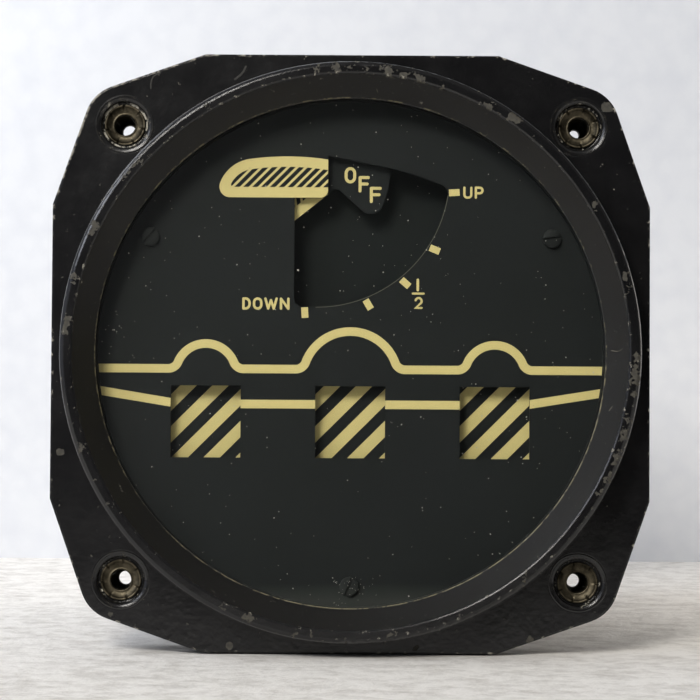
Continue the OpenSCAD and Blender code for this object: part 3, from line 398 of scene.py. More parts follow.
dialPaintLook = {
    "colour": "#1e1f20", "deep": "#191a1a", "dust": "#a3a39a", "roughness": 0.7, "shine": 0.1,
    "cloudMm": 14, "grainMm": 0.12, "reliefMm": 0.006,
    # paler towards the bottom, between two heights, with a wavy edge
    "paleLowFrom": -31.0, "paleLowTo": -33.6, "paleLowWave": 1.5, "paleLow": 0.075,
    "specks": ((1.5, 0.07, 1.0), (5.0, 0.16, 0.6)),  # cell, size and part of the share
}


def mattPaint(name, look, dustShare):
    # Matt black instrument paint, sprayed: almost no shine, a fine grain, specks of settled dust,
    # and paler towards the bottom of the dial.
    material, add = newFinish(name)
    coords = add("TexCoord").outputs["Object"]
    cloud = add("TexNoise", {"Vector": coords, "Scale": 1 / (look["cloudMm"] * mm), "Detail": 4})
    colour = add("Mix", {0: cloud, 6: look["colour"], 7: look["deep"]}, "RGBA")
    z = add("SeparateXYZ", (coords,)).outputs[2]
    low = add("Math", (cloud, look["paleLowWave"] * mm, z), "MULTIPLY_ADD")
    low = add("MapRange", (
        low, look["paleLowFrom"] * mm, look["paleLowTo"] * mm, 0, look["paleLow"]))
    for mask in [low] + [speckMask(add, coords, cell, size, dustShare * part)
                         for cell, size, part in look["specks"]]:
        colour = add("Mix", {0: mask, 6: colour, 7: look["dust"]}, "RGBA")
    grain = add("TexNoise", {"Vector": coords, "Scale": 1 / (look["grainMm"] * mm), "Detail": 2})
    bump = add("Bump", {"Height": grain, "Distance": look["reliefMm"] * mm})
    shader = add("BsdfPrincipled", {
        "Base Color": colour, "Roughness": look["roughness"], "IOR": 1.5,
        "Specular IOR Level": look["shine"], "Normal": bump})
    add("OutputMaterial", (shader,))
    return material


creamLook = {"colour": "#d9c482", "aged": "#d0b976", "dirt": "#a59668", "roughness": 0.5,
             "cloudMm": 2.2, "reliefMm": 0.01, "spots": (1.1, 0.09, 0.2)}  # cell, size, share


def agedEnamel(name, look):
    # Cream screen-printed enamel, yellowed with age: an even satin skin, cloudy at two
    # millimetres, with a few dull brown spots.
    material, add = newFinish(name)
    coords = add("TexCoord").outputs["Object"]
    cloud = add("TexNoise", {
        "Vector": coords, "Scale": 1 / (look["cloudMm"] * mm), "Detail": 5, "Roughness": 0.65})
    colour = add("Mix", {0: cloud, 6: look["colour"], 7: look["aged"]}, "RGBA")
    colour = add("Mix", {
        0: speckMask(add, coords, *look["spots"]), 6: colour, 7: look["dirt"]}, "RGBA")
    bump = add("Bump", {"Height": cloud, "Distance": look["reliefMm"] * mm})
    shader = add("BsdfPrincipled", {
        "Base Color": colour, "Roughness": look["roughness"], "IOR": 1.5, "Normal": bump})
    add("OutputMaterial", (shader,))
    return material


metalLook = {"tarnishMm": 1.6, "tarnish": (0.4, 0.65), "smoother": 0.08, "rougher": 0.12,
             "reliefMm": 0.008}


def workedMetal(name, colour, worn, roughness, grainMm, stretch, look=metalLook):
    # Turned, drawn, cast or plated metal: the grain is stretched along the lay of the tool, and
    # the gloss changes with it, so highlights break into fine lines; tarnish clouds the colour.
    material, add = newFinish(name)
    coords = add("TexCoord").outputs["Object"]
    lay = add("Mapping", {"Vector": coords, "Scale": stretch})
    grain = add("TexNoise", {"Vector": lay, "Scale": 1 / (grainMm * mm), "Detail": 4})
    cloud = add("TexNoise", {
        "Vector": coords, "Scale": 1 / (look["tarnishMm"] * mm), "Detail": 5, "Roughness": 0.7})
    tint = add("MapRange", (cloud, *look["tarnish"]))
    base = add("Mix", {0: tint, 6: colour, 7: worn}, "RGBA")
    gloss = add("MapRange", (
        grain, 0, 1, roughness - look["smoother"], roughness + look["rougher"]))
    bump = add("Bump", {"Height": grain, "Distance": look["reliefMm"] * mm})
    shader = add("BsdfPrincipled", {
        "Base Color": base, "Roughness": gloss, "Metallic": 1.0, "Normal": bump})
    add("OutputMaterial", (shader,))
    return material


def mouldedPlastic(name, colour, fleck, roughness, grainMm, reliefMm=0.015):
    # Moulded rubber, plastic or laminate: one soft colour with flecks of its filler, and the
    # mould's fine grain in the highlights.
    material, add = newFinish(name)
    coords = add("TexCoord").outputs["Object"]
    grain = add("TexNoise", {
        "Vector": coords, "Scale": 1 / (grainMm * mm), "Detail": 5, "Roughness": 0.7})
    base = add("Mix", {0: grain, 6: colour, 7: fleck}, "RGBA")
    bump = add("Bump", {"Height": grain, "Distance": reliefMm * mm})
    shader = add("BsdfPrincipled", {
        "Base Color": base, "Roughness": roughness, "IOR": 1.53, "Normal": bump})
    add("OutputMaterial", (shader,))
    return material


def clearGlass(name, tint):
    # Polished plate glass: clear with a faint green, a hard mirror at its two faces, and it lets
    # the daylight through to the dial.
    material, add = newFinish(name)
    shader = add("BsdfPrincipled", {
        "Base Color": tint, "Roughness": 0.0, "IOR": 1.5, "Transmission Weight": 1.0})
    through = add("BsdfTransparent", (tint,))
    rays = add("LightPath").outputs
    lit = add("Math", (rays["Is Shadow Ray"], rays["Is Diffuse Ray"]), "MAXIMUM")
    mix = add("MixShader", (lit, shader, through))
    add("OutputMaterial", (mix,))
    return material


finishes = {
    "black_enamel": chippedEnamel("chippedStoveEnamel", enamelLook, True),
    "case_enamel": chippedEnamel("stoveEnamel", enamelLook, False),
    "dial_paint": mattPaint("mattDialPaint", dialPaintLook, 0.22),
    "movement_paint": mattPaint("mattMovementPaint", dict(
        dialPaintLook, colour="#1c1e1e", deep="#161818"), 0.1),
    "screw_paint": mattPaint("paintedScrewHeads", dict(
        dialPaintLook, colour="#222323", deep="#1b1c1c", roughness=0.55), 0.2),
    "cream_enamel": agedEnamel("agedCreamEnamel", creamLook),
    "cover_glass": clearGlass("polishedPlateGlass", "#f4f7f5"),
    # pressed sealing rubber, dull and even
    "black_rubber": mouldedPlastic("mouldedRubber", "#161616", "#202020", 0.75, 0.3),
    # turned bushes whose cadmium plate has gone brown, black where oil has gathered
    "insert_steel": workedMetal("wornCadmiumPlate", "#514b3e", "#221f18", 0.44, 0.25, (1, 4, 1)),
    # plated screws: grey, slightly yellow, satin
    "screw_steel": workedMetal("cadmiumPlatedSteel", "#8d8b85", "#6e6a62", 0.38, 0.2, (1, 1, 1)),
    # ground and polished pivots, the brightest metal in the movement
    "shaft_steel": workedMetal("groundSteel", "#c6c7c9", "#b4b4b3", 0.25, 0.1, (1, 6, 1)),
    # stamped silicon steel: dark blue-grey, with the edges of the sheets as fine lines
    "core_steel": workedMetal("stackedSheetSteel", "#4b4b4d", "#38383a", 0.5, 0.35, (1, 8, 1)),
    # sand-cast magnet alloy: dark, rough and unplated
    "magnet_alloy": workedMetal("castMagnetAlloy", "#5a5856", "#484644", 0.55, 0.4, (1, 1, 1)),
    # rolled sheet aluminium: pale, with the lines of the rolling
    "aluminium": workedMetal("clearFinishedAluminium", "#c9cacc", "#b6b7b8", 0.35, 0.15, (4, 1, 1)),
    # machined aluminium with the olive plating of connectors
    "receptacle_metal": workedMetal("olivePlatedAluminium", "#84836f", "#6a6854", 0.42, 0.2,
                                    (1, 3, 1)),
    # turned brass, slightly brown
    "brass": workedMetal("plainBrass", "#c2a35f", "#a3854a", 0.35, 0.2, (1, 3, 1)),
    # drawn copper braid and lugs, dulled
    "copper": workedMetal("plainCopper", "#c07a52", "#9b5c3c", 0.38, 0.2, (1, 3, 1)),
    # wire under clear varnish: dark red-brown, shinier than bare copper, in turns of 0.22 mm
    "copper_wire": workedMetal("enamelledCopperWire", "#9a4f28", "#7d3c1c", 0.3, 0.22, (1, 9, 1)),
    # contact pins, gold over brass
    "pin_plating": workedMetal("platedBrassPins", "#cdb67a", "#ad9560", 0.28, 0.1, (1, 5, 1)),
    # polished bearing stones, deep red
    "jewel": mouldedPlastic("redStone", "#8a1420", "#a01a28", 0.12, 0.4),
    # paper laminate: brown with a woody fleck, satin
    "phenolic": mouldedPlastic("brownLaminate", "#5a3a22", "#43290f", 0.5, 0.5),
    # moulded phenolic: brown-black with a low shine
    "insulator_plastic": mouldedPlastic("mouldedPhenolic", "#1d1a18", "#262220", 0.42, 0.25),
    # extruded wire covering, off-white
    "wire_insulation": mouldedPlastic("wireCovering", "#dcd9d0", "#c8c3b4", 0.6, 0.2),
}
slotOf = {row["node"]: row["material_slot"] for row in frame["record"]["subparts"]}
for nodeName, cadNode in nodes.items():
    for held in cadNode.material_slots:
        held.material = finishes[slotOf[nodeName]]
print("finishes: done")


letterLook = {"raised": 0.05, "step": 0.002}
glyphs = {  # pen strokes in a box one unit high; the second value closes the stroke
    "U": (0.72, [([(0, 1), (0, 0.3)] + arcPoints((0.3, 0.3), 0.3, 0.3, 180, 270, 6)[1:]
                  + arcPoints((0.42, 0.3), 0.3, 0.3, 270, 360, 6) + [(0.72, 1)], False)]),
    "P": (0.66, [([(0, 0), (0, 1)], False),
                 ([(0, 1), (0.38, 1)] + arcPoints((0.38, 0.72), 0.28, 0.28, 90, -90, 10)[1:]
                  + [(0, 0.44)], False)]),
    "D": (0.72, [([(0, 0), (0, 1)], False),
                 ([(0, 1), (0.26, 1)] + arcPoints((0.26, 0.5), 0.46, 0.5, 90, -90, 14)[1:]
                  + [(0, 0)], False)]),
    "O": (0.7, [(arcPoints((0.35, 0.63), 0.35, 0.37, 0, 180, 12)
                 + arcPoints((0.35, 0.37), 0.35, 0.37, 180, 360, 12), True)]),
    "W": (1.0, [([(0, 1), (0.25, 0)], False), ([(0.25, 0), (0.5, 0.85)], False),
                ([(0.5, 0.85), (0.75, 0)], False), ([(0.75, 0), (1, 1)], False)]),
    "N": (0.72, [([(0, 0), (0, 1)], False), ([(0, 1), (0.72, 0)], False),
                 ([(0.72, 0), (0.72, 1)], False)]),
    "F": (0.62, [([(0, 0), (0, 1)], False), ([(0, 1), (0.62, 1)], False),
                 ([(0, 0.52), (0.54, 0.52)], False)]),
    "1": (0.1, [([(0.05, 0), (0.05, 1)], False)]),
    "2": (0.62, [(arcPoints((0.31, 0.68), 0.31, 0.32, 165, -35, 12)
                  + [(0.03, 0), (0.62, 0)], False)]),
}


def onFront(depth):  # a place on a surface that faces the viewer; side 0 is the front of the ink
    def place(x, z, side, lift=0):
        return x, depth - (letterLook["raised"] + lift) * (1 - side), z
    return place


def letterPiece(name, body, look, place):  # letters: glyph, left, bottom, width, height, stroke
    words = Shape()
    for glyph, left, bottom, width, height, stroke in look["letters"]:
        wide, strokes = glyphs[glyph]
        for number, (points, closed) in enumerate(strokes):
            scaleX = (width - stroke) / wide if wide > 0.2 else 1
            inner = height - stroke
            drawn = [(left + stroke / 2 + x * scaleX, bottom + stroke / 2 + z * inner)
                     for x, z in points]
            lift = number * letterLook["step"]
            words.addStroke(drawn, stroke, lambda x, z, s, k=lift: place(x, z, s, k), closed)
    for points, width in look.get("bars", ()):
        words.addStroke(points, width, place)
    makePiece(name, words, finishes["cream_enamel"], body, "cream_enamel")


dialWords = {
    "frontOfDial": 3.1,
    "letters": [
        ("U", 15.54, 21.66, 1.27, 1.68, 0.31), ("P", 17.13, 21.66, 1.24, 1.7, 0.32),
        ("D", -15.07, 6.02, 1.2, 1.72, 0.34), ("O", -13.6, 6.02, 1.34, 1.72, 0.34),
        ("W", -12.02, 6.02, 1.88, 1.72, 0.33), ("N", -9.86, 6.02, 1.36, 1.72, 0.34),
        ("1", 9.06, 8.7, 0.36, 1.78, 0.36), ("2", 8.84, 6.26, 1.14, 1.68, 0.3)],
    "bars": [([(8.6, 8.4), (10.1, 8.4)], 0.3)],
}
letterPiece("dialLettering", "instrument", dialWords, onFront(dialWords["frontOfDial"]))

flagWord = {
    "frontOfFlag": 4.8,
    "letters": [("O", -0.98, 23.86, 1.62, 2.28, 0.41), ("F", 0.98, 22.6, 1.56, 2.3, 0.42),
                ("F", 2.56, 21.12, 1.66, 2.28, 0.42)],
}
letterPiece("flagLettering", "flap", flagWord, onFront(flagWord["frontOfFlag"]))

drumWord = {
    "axle": (15.97, -9.5), "pitch": 20.04, "faceDistance": 9.873, "turn": 60,
    "letters": [("U", -3.9, -2.4, 3.5, 4.8, 1.0), ("P", 0.5, -2.4, 3.4, 4.8, 1.0)],
}


def onDrum(axleX):  # the face below the front one, which comes forward for a raised wheel
    cos, sin = polar(1, drumWord["turn"])

    def place(x, z, side, lift=0):
        out = -drumWord["faceDistance"] - (letterLook["raised"] + lift) * (1 - side)
        return (axleX + x, drumWord["axle"][0] + out * cos - z * sin,
                drumWord["axle"][1] + out * sin + z * cos)
    return place


for index, side in enumerate(("left", "centre", "right")):
    letterPiece(side + "DrumLettering", side + "_wheel", drumWord,
                onDrum((index - 1) * drumWord["pitch"]))
print("lettering: done")

insertLook = {"pitch": 31.435, "front": 0.5, "back": 10.0, "radius": 2.85, "core": 1.37,
              "threadFrom": 1.35, "threadTo": 8.4, "threadPitch": 0.794, "threadDepth": 0.36,
              "notchEvery": 51, "notchWidth": 3.7, "notchDepth": 0.2, "notchFrom": 2.3,
              "notchTo": 0.75, "steps": 96,
              # each insert: side in x and z, degrees its notches are turned, bore at its back end
              "each": [(-1, 1, 11, 0.92), (1, 1, 29, 0.66), (1, -1, 3, 0.9), (-1, -1, 20, 0.92)]}


def threadWave(depth, degrees, pitch):  # 0 at the crest of a screw thread, 1 at its root
    turnShare = (depth / pitch + degrees / 360) % 1
    return min(1, max(0, (0.5 - abs(turnShare - 0.5)) * 2.6 - 0.15))


def insertSection(look, nose):
    f, r, core = look["front"], look["radius"], look["core"]
    section = [(r, look["back"])] + [(r - inward, f + behind) for inward, behind in (
        (0, 0.3), (0.02, 0.12), (0.1, 0.02), (0.22, 0), (0.32, 0.05), (0.42, 0.16), (0.52, 0.24),
        (0.8, 0.36), (1.08, 0.46), (1.18, 0.46), (1.28, 0.42), (1.38, 0.46))]
    section += [(core + 0.02, f + 0.62), (core, look["threadFrom"])]
    step = look["threadPitch"] / 4
    count = round((look["threadTo"] - look["threadFrom"]) / step)
    section += [(core, look["threadFrom"] + i * step) for i in range(1, count)]
    return section + [(core, look["threadTo"]), (nose + 0.05, look["threadTo"] + 0.4),
                      (nose, look["threadTo"] + 0.8), (nose, look["back"] - 0.1),
                      (nose + 0.1, look["back"])]


inserts = Shape()
for sideX, sideZ, offset, nose in insertLook["each"]:
    def insertShape(radius, depth, degrees, offset=offset, look=insertLook):
        if radius > look["notchFrom"] and depth < look["notchTo"]:
            if (degrees + offset) % look["notchEvery"] < look["notchWidth"]:
                depth += look["notchDepth"]
        if radius == look["core"] and look["threadFrom"] < depth < look["threadTo"]:
            radius += look["threadDepth"] * threadWave(depth, degrees, look["threadPitch"])
        return radius, depth
    inserts.addRings(turnedRings(insertSection(insertLook, nose),
                                 (sideX * insertLook["pitch"], sideZ * insertLook["pitch"]),
                                 insertLook["steps"], insertShape), loop=True)
piece = makePiece("mountingInserts", inserts, finishes["insert_steel"], "instrument",
                  "insert_steel", 40)
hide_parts("mounting_inserts")

dialScrewLook = {"places": (30, 150, 270), "circle": 32.2, "seat": 3.1, "out": -1, "head": 1.3,
                 "high": 0.8, "dome": 0.12, "round": 0.14, "shank": 0.9, "shankTo": 6.0,
                 "slot": 0.45, "slotDeep": 0.45, "slotTurns": (8, 50, 70)}
caseScrewLook = {"places": (8, 172, 248, 292), "circle": 33.0, "seat": 63.5, "out": 1, "head": 1.7,
                 "high": 1.2, "dome": 0.25, "round": 0.25, "shank": 0.9, "shankTo": 58.5,
                 "slot": 0.5, "slotDeep": 0.6, "slotTurns": (20, 75, 130, 5)}
corner = 14.68  # how far the socket's screws are from its axis, in x and in z
receptacleScrewLook = {
    "places": (45, 135, 225, 315), "circle": corner * math.sqrt(2), "seat": 67.5, "out": 1,
    "head": 2.5, "high": 1.2, "dome": 0.35, "round": 0.3, "shank": 1.4, "shankTo": 61.9,
    "slot": 0.7, "slotDeep": 0.65, "slotTurns": (30, 100, 62, 140)}


def slottedScrews(name, replaced, look):  # cheese heads with a milled slot
    screws, cuts = Shape(), Shape()
    seat, out, head, high, dome, bevel, shank = [look[part] for part in (
        "seat", "out", "head", "high", "dome", "round", "shank")]
    top, deep = high - dome, abs(look["shankTo"] - seat)
    section = [(0.05, high), (head * 0.35, high - dome * 0.12), (head * 0.7, high - dome * 0.5),
               (head - bevel, top), (head - bevel * 0.3, top - bevel * 0.3), (head, top - bevel),
               (head, 0.0), (shank, 0.0), (shank, 0.2 - deep), (shank - 0.2, -deep)]
    for degrees, slotTurn in zip(look["places"], look["slotTurns"]):
        centre = polar(look["circle"], degrees)
        screws.addRings(turnedRings([(r, seat + out * y) for r, y in section], centre, 40),
                        caps=True)
        cuts.addBox(centre, (head * 2.4, look["slot"]), slotTurn,
                    seat + out * (high - look["slotDeep"]), seat + out * (high + 1))
    slot = slotOf[replaced]
    screwPiece = makePiece(name, screws, finishes[slot], "instrument", slot)
    cutAway(screwPiece, cuts, 30)
    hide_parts(replaced)


slottedScrews("dialScrews", "dial_screws", dialScrewLook)
slottedScrews("caseScrews", "case_screws", caseScrewLook)
slottedScrews("receptacleScrews", "receptacle_screws", receptacleScrewLook)

receptacleLook = {"flangeHalf": 19.05, "flangeCorner": 3.2, "flangeFrom": 64.3, "flangeTo": 67.5,
                  "thread": 15.875, "end": 82.1, "threadPitch": 1.411, "threadDepth": 0.75,
                  "socket": 13.975, "rear": 57.3, "rearRadius": 14.925, "key": (2.6, 0.9),
                  "keyFrom": 70.1, "hole": 1.5, "edge": 0.35, "steps": 180}


def squareReach(look, degrees, inset):  # how far a rounded square reaches in a direction
    half, corner = look["flangeHalf"] - inset, look["flangeCorner"]
    x, z = (abs(v) for v in polar(1, degrees))
    reach = half / max(x, z)
    if min(x, z) * reach > half - corner:  # within the rounded corner
        middle = half - corner
        along = middle * (x + z)
        reach = along + math.sqrt(along * along - 2 * middle * middle + corner * corner)
    return reach


def receptacleShape(radius, depth, degrees, look=receptacleLook):
    if radius < 0:  # on the square flange; the value says how far inside its outline
        return squareReach(look, degrees, -radius - 1), depth
    start, end = look["flangeTo"] + 1.2, look["end"] - 0.6
    if radius == look["thread"] and start < depth < end:
        radius -= look["threadDepth"] * threadWave(depth, degrees, look["threadPitch"])
    if radius == look["socket"] and depth >= look["keyFrom"]:
        width, deep = look["key"]
        x, z = polar(radius + deep, degrees)
        if z > 0 and abs(x) < width / 2:
            radius += deep
    return radius, depth


def receptacleSection(look):
    edge, thread, end, socket = look["edge"], look["thread"], look["end"], look["socket"]
    near, far, rear = look["flangeFrom"], look["flangeTo"], look["rear"]
    section = [(look["rearRadius"], rear), (look["rearRadius"], near), (-1 - edge * 0.5, near),
               (-1.0, near + edge * 0.5), (-1.0, far - edge), (-1 - edge * 0.3, far - edge * 0.3),
               (-1 - edge, far), (thread - 0.4, far), (thread - 0.75, far + 0.3),
               (thread - 0.75, far + 0.9), (thread - 0.05, far + 1.15)]
    low, high, perTurn = far + 1.25, end - 0.65, 6
    count = round((high - low) / look["threadPitch"] * perTurn)
    section += [(thread, low + (high - low) * i / count) for i in range(count + 1)]
    return section + [(thread - 0.35, end - 0.25), (thread - 0.75, end), (socket + 0.3, end),
                      (socket, end - 0.3), (socket, look["keyFrom"]),
                      (socket, look["keyFrom"] - 0.05), (socket, rear)]


shell, holes = Shape(), Shape()
shell.addRings(turnedRings(receptacleSection(receptacleLook), (0, 0), receptacleLook["steps"],
                           receptacleShape), loop=True)
for sideX, sideZ in ((1, 1), (-1, 1), (-1, -1), (1, -1)):
    holes.addRings(turnedRings([(receptacleLook["hole"], receptacleLook["flangeFrom"] - 1),
                                (receptacleLook["hole"], receptacleLook["flangeTo"] + 1)],
                               (sideX * corner, sideZ * corner), 32), caps=True)
piece = makePiece("threadedReceptacle", shell, finishes["receptacle_metal"], "instrument",
                  "receptacle_metal")
cutAway(piece, holes, 32)
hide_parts("receptacle_shell")
print("turned pieces: done")

dustLook = {"grains": 300, "reach": 34.6, "onGlass": -1.4, "small": 0.04, "large": 0.1,
            "sides": 7, "seed": 7,
            "placed": [(-7.3, 11.3, 0.15), (24.2, -8.7, 0.1), (18.1, -8.6, 0.09)],
            # places where more of it settled: x, z, spread and how many grains
            "drifts": [(0.4, -32.4, 2.6, 26), (-32.3, 2.9, 1.1, 12), (-2.0, -33.8, 5.0, 20)]}
grains, front, sides = Shape(), dustLook["onGlass"], dustLook["sides"]
rng = random.Random(dustLook["seed"])
spots = [(*polar(dustLook["reach"] * math.sqrt(rng.random()), rng.uniform(0, 360)),
          dustLook["small"] + (dustLook["large"] - dustLook["small"]) * rng.random() ** 3)
         for _ in range(dustLook["grains"])] + dustLook["placed"]
for driftX, driftZ, spread, count in dustLook["drifts"]:
    drift = [(rng.gauss(driftX, spread / 2), rng.gauss(driftZ, spread / 3),
              dustLook["small"] * rng.uniform(0.6, 1.4)) for _ in range(count)]
    spots += [grain for grain in drift if math.hypot(*grain[:2]) < dustLook["reach"] + 0.2]
for grainX, grainZ, size in spots:
    uneven = [1 + rng.uniform(-0.3, 0.3) for _ in range(sides)]

    def grainShape(radius, depth, degrees, uneven=uneven):
        return radius * uneven[round(degrees / 360 * sides) % sides], depth
    grains.addRings(turnedRings([(size, front), (size * 0.85, front - size * 0.35),
                                 (size * 0.3, front - size * 0.6)], (grainX, grainZ), sides,
                                grainShape), caps=True)
makePiece("glassDust", grains, mouldedPlastic("settledDust", "#b9b6ac", "#8d8a80", 0.9, 0.1),
          "instrument", "cover_glass", 60)

markLook = {
    # the pale line along the flap window's arc: rubbed paint at the cut edge and a painted
    # highlight where the edge catches the light
    "paleEdge": {"centre": (-4.86, 24.92), "radius": 18.5, "from": -9, "to": -90, "width": 0.09,
             "front": 3.1, "raised": 0.03},
    # ridges of thick paint on the flange, grey as a painted highlight: lines of x, z points, then
    # their width
    "runs": [([(-27.85, 36.5), (-27.87, 37.1), (-27.78, 37.66), (-27.55, 38.1), (-27.1, 38.45),
               (-26.6, 38.62)], 0.2),
             ([(-16.2, 37.85), (-15.5, 38.4), (-15.06, 38.9), (-14.75, 39.6)], 0.3)],
    "runHeight": 0.06, "runBuried": 0.02,
    # the cone around the glass: its inner radius, the y there and how fast it comes forward
    "cone": (35.05, -2.3, 4.05 / 2.975), "scratchRaised": 0.012, "scratchBuried": 0.03,
    # scratches across the cone: degrees clockwise from the top and radius, then their width
    "mmPerDegree": 0.63,
    "scratches": [([(3.9, 37.0), (4.6, 36.8), (5.2, 36.4), (5.6, 35.9)], 0.11),
                  ([(28.2, 36.9), (29.0, 36.7)], 0.12),
                  ([(89.0, 37.2), (89.6, 36.4), (89.3, 35.7)], 0.1),
                  ([(101.0, 36.6), (102.5, 36.2)], 0.1)],
}
paleEdgeLook = markLook["paleEdge"]
paleEdge = Shape()
paleEdge.addStroke(arcPoints(paleEdgeLook["centre"], paleEdgeLook["radius"], paleEdgeLook["radius"],
                         paleEdgeLook["from"], paleEdgeLook["to"], 60), paleEdgeLook["width"],
               lambda x, z, side: (x, paleEdgeLook["front"] - paleEdgeLook["raised"] * (1 - side), z))
makePiece("windowEdgeWearAndHighlight", paleEdge, mattPaint("rubbedAndLitPaintEdge", dict(
    dialPaintLook, colour="#6f6b60", deep="#4a4740"), 0.1),
          "instrument", "dial_paint")
runs = Shape()
for points, width in markLook["runs"]:
    for share, lift in ((1.0, 0.3), (0.75, 0.7), (0.45, 1.0)):
        runs.addStroke(points, width * share, lambda x, z, side, k=lift: (
            x, markLook["runBuried"] - (markLook["runBuried"] + markLook["runHeight"] * k)
            * (1 - side), z))
makePiece("paintRuns", runs, mattPaint("enamelRidgePaintedHighlight", dict(
    dialPaintLook, colour="#434240", deep="#262624", roughness=0.35), 0.0),
          "instrument", "black_enamel", 50)


def onCone(along, radius, side):  # a place on the cone, by its length along the turn in mm
    inner, front, slope = markLook["cone"]
    z, x = polar(radius, along / markLook["mmPerDegree"])
    depth = front - (radius - inner) * slope
    return x, depth - markLook["scratchRaised"] * (1 - side) + markLook["scratchBuried"] * side, z


scratches = Shape()
for points, width in markLook["scratches"]:
    flat = [(degrees * markLook["mmPerDegree"], radius) for degrees, radius in points]
    scratches.addStroke(flat, width, onCone)
makePiece("coneScratches", scratches, mattPaint("scratchedEnamel", dict(
    dialPaintLook, colour="#77746a", deep="#55524a"), 0.0),
          "instrument", "black_enamel")
print("small marks: done")

stageLook = {
    "restFront": (4.8, -41.275), "restBack": (63.0, -38.1),  # y and z of what touches the table
    "tableHalf": 1400, "wallBehind": 148, "wallHeight": 420, "wallHalf": 700,
    "table": "#e6e3de", "tablePitShade": "#afaaa3", "pitMm": 4.0, "pitDepthMm": 0.5,
    "wall": "#d1d3d7", "wallSeamShade": "#bec1c9", "beadMm": 3.4, "wallCloudMm": 6,
    # how each goes to its colour of painted shade: noise from and to, share from and to
    "pits": (0.56, 0.33, 0, 0.6), "beadSeamShade": (0.72, 1.3, 0, 0.4), "beadShare": 0.9,
}
run = Vector((stageLook["restBack"][0] - stageLook["restFront"][0],
              stageLook["restBack"][1] - stageLook["restFront"][1])).normalized()


def onTable(x, back, up):  # a place measured along the table, which the case leans back on
    y0, z0 = stageLook["restFront"]
    return x, y0 + back * run.x - up * run.y, z0 + back * run.y + up * run.x


def foamWall(name, look):
    # White bead foam, moulded, no shine: the beads' seams are painted grey as the shade of
    # shallow dimples. From behind it lets the view through, so that it hides nothing.
    material, add = newFinish(name)
    coords = add("TexCoord").outputs["Object"]
    beads = add("TexVoronoi", {
        "Vector": coords, "Scale": 1 / (look["beadMm"] * mm), "Smoothness": 1.0},
        feature="SMOOTH_F1")
    cloud = add("TexNoise", {
        "Vector": coords, "Scale": 1 / (look["wallCloudMm"] * mm), "Detail": 4, "Roughness": 0.7})
    rim = add("Math", (beads, look["beadShare"], cloud), "MULTIPLY_ADD")
    low = add("MapRange", (rim, *look["beadSeamShade"]))
    colour = add("Mix", {0: low, 6: look["wall"], 7: look["wallSeamShade"]}, "RGBA")
    shader = add("BsdfPrincipled", {
        "Base Color": colour, "Roughness": 0.9, "Specular IOR Level": 0.15})
    through = add("BsdfTransparent")
    side = add("NewGeometry").outputs["Backfacing"]
    mix = add("MixShader", (side, shader, through))
    add("OutputMaterial", (mix,))
    return material


def roughTable(name, look):
    # Pale fibre board, rough sawn: pits of a few millimetres in a warm white face, painted grey as
    # shade in them.
    material, add = newFinish(name)
    coords = add("TexCoord").outputs["Object"]
    pits = add("TexNoise", {
        "Vector": coords, "Scale": 1 / (look["pitMm"] * mm), "Detail": 7, "Roughness": 0.72})
    low = add("MapRange", (pits, *look["pits"]))
    colour = add("Mix", {0: low, 6: look["table"], 7: look["tablePitShade"]}, "RGBA")
    bump = add("Bump", {"Height": pits, "Distance": look["pitDepthMm"] * mm})
    shader = add("BsdfPrincipled", {
        "Base Color": colour, "Roughness": 0.85, "Specular IOR Level": 0.2, "Normal": bump})
    add("OutputMaterial", (shader,))
    return material


half, wallX = stageLook["tableHalf"], stageLook["wallHalf"]
back, top = stageLook["wallBehind"], stageLook["wallHeight"]
board, panel = Shape(), Shape()
board.verts = [onTable(x, y, 0) for x, y in (
    (-half, -half), (half, -half), (half, half), (-half, half))]
panel.verts = [onTable(x, back, z) for x, z in (
    (-wallX, 0), (wallX, 0), (wallX, top), (-wallX, top))]
board.faces = panel.faces = [(0, 1, 2, 3)]
table = makePiece("studioTable", board, roughTable("paleRoughBoard", stageLook))
wall = makePiece("studioWall", panel, foamWall("whiteBeadFoam", stageLook))

lightLook = {
    "lamps": {  # place and diameter in mm, watts, colour, what it points at, spread in degrees
        "keyPanel": ((-215, -640, 350), 240, 4.6, "#fffbf4", (0, 0, 0), 180),
        "sidePanel": ((-430, -400, 260), 200, 0.9, "#eef3ff", (0, 0, 0), 180),
        "wallPanel": ((-235, 30, 210), 130, 0.25, "#f4f8ff", (-85, 150, 90), 110),
        "rightPanel": ((150, 66, 0), 90, 0.042, "#fff6ea", (46, 78, -41), 100)},
    "room": "#f3f2f0", "windowSide": "#e9efff",
    "above": 0.34, "level": 0.52, "below": 0.5,  # how bright the room is above, level and below
    "leftShare": 1.55, "rightShare": 0.4, "daylight": (0.1, -0.6), "backdrop": 0.8,
    # the dark side: its direction, how near to it is darkest and where it ends, what is left
    "darkSide": (0.3, -0.95, -0.05), "darkness": (0.965, 0.66, 0.02),
}
world = bpy.data.worlds.new("softRoom")
bpy.context.scene.world = world
world.use_nodes = True
world.node_tree.nodes.clear()
add = partial(addNode, world.node_tree)
direction = add("TexCoord").outputs["Generated"]
rightward, _, upward = add("SeparateXYZ", (direction,)).outputs
height = add("MapRange", (upward, -1))
height = add("ValToRGB", (height,), stops=[
    (at, (lightLook[name],) * 3 + (1,))
    for at, name in ((0, "below"), (0.5, "level"), (1, "above"))])
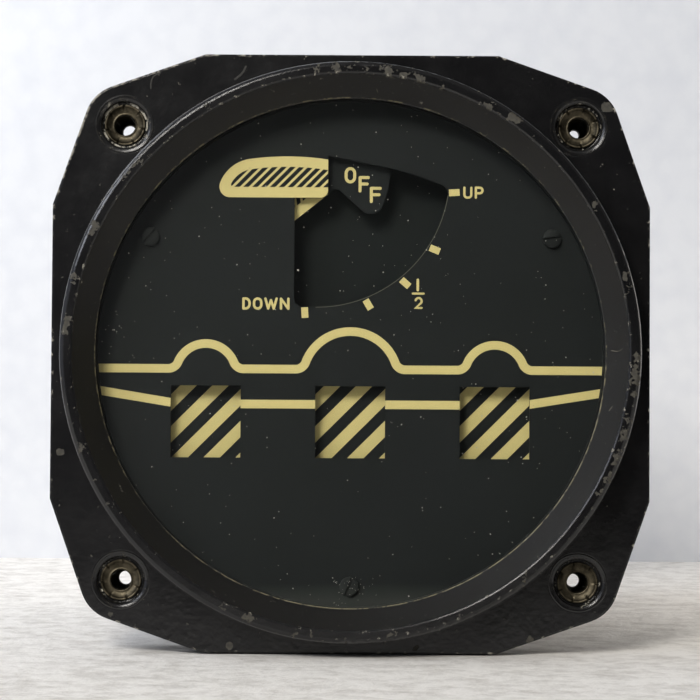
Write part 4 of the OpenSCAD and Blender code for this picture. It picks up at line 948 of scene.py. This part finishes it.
# the room is dark on the side of the viewer, a little to the right
towards = add("VectorMath", (direction, Vector(lightLook["darkSide"]).normalized()), "DOT_PRODUCT")
openRoom = add("MapRange", (towards, *lightLook["darkness"]))
# the window wall is on the left
window = add("MapRange", (rightward, -1, 1, lightLook["leftShare"], lightLook["rightShare"]))
daylight = add("MapRange", (rightward, *lightLook["daylight"]))
colour = add("Mix", {0: daylight, 6: lightLook["room"], 7: lightLook["windowSide"]}, "RGBA")
strength = add("Math", (height, openRoom), "MULTIPLY")
strength = add("Math", (strength, window), "MULTIPLY")
# where the wall ends, the camera sees a pale room from every side
seen = add("LightPath").outputs["Is Camera Ray"]
strength = add("Mix", {0: seen, 2: strength, 3: lightLook["backdrop"]})
shader = add("Background", (colour, strength))
add("OutputWorld", (shader,))


def aimAt(name, data, place, aim, roll=0):  # a lamp or camera at a place, turned to what it sees
    holder = bpy.data.objects.new(name, data)
    holder.location = Vector(place) * mm
    holder.rotation_mode = "QUATERNION"
    sight = Vector(aim) * mm - holder.location
    holder.rotation_quaternion = sight.to_track_quat("-Z", "Y") @ Quaternion(
        (0, 0, 1), math.radians(roll))
    bpy.context.scene.collection.objects.link(holder)
    return holder


for lampName, (place, sizeMm, watts, colour, aim, spread) in lightLook["lamps"].items():
    lamp = bpy.data.lights.new(lampName, "AREA")
    lamp.shape, lamp.size = "DISK", sizeMm * mm
    lamp.energy, lamp.color = watts, hexColour(colour)[:3]
    lamp.spread = math.radians(spread)
    aimAt(lampName, lamp, place, aim).visible_camera = False

cameraLook = {"distance": 400, "below": 2.3, "aim": (-0.07, 0, 0.41), "roll": 0.36,
              "lens": 149.14, "sensor": 36}
cos, sin = polar(cameraLook["distance"], cameraLook["below"])
camera = bpy.data.cameras.new("photoCamera")
camera.lens, camera.sensor_width = cameraLook["lens"], cameraLook["sensor"]
camera.clip_start, camera.clip_end = 0.01, 10
bpy.context.scene.camera = aimAt("photoCamera", camera, (0, -cos, -sin), cameraLook["aim"],
                                 cameraLook["roll"])
bpy.context.scene.view_settings.view_transform = "Standard"
print("stage, light and camera: done")
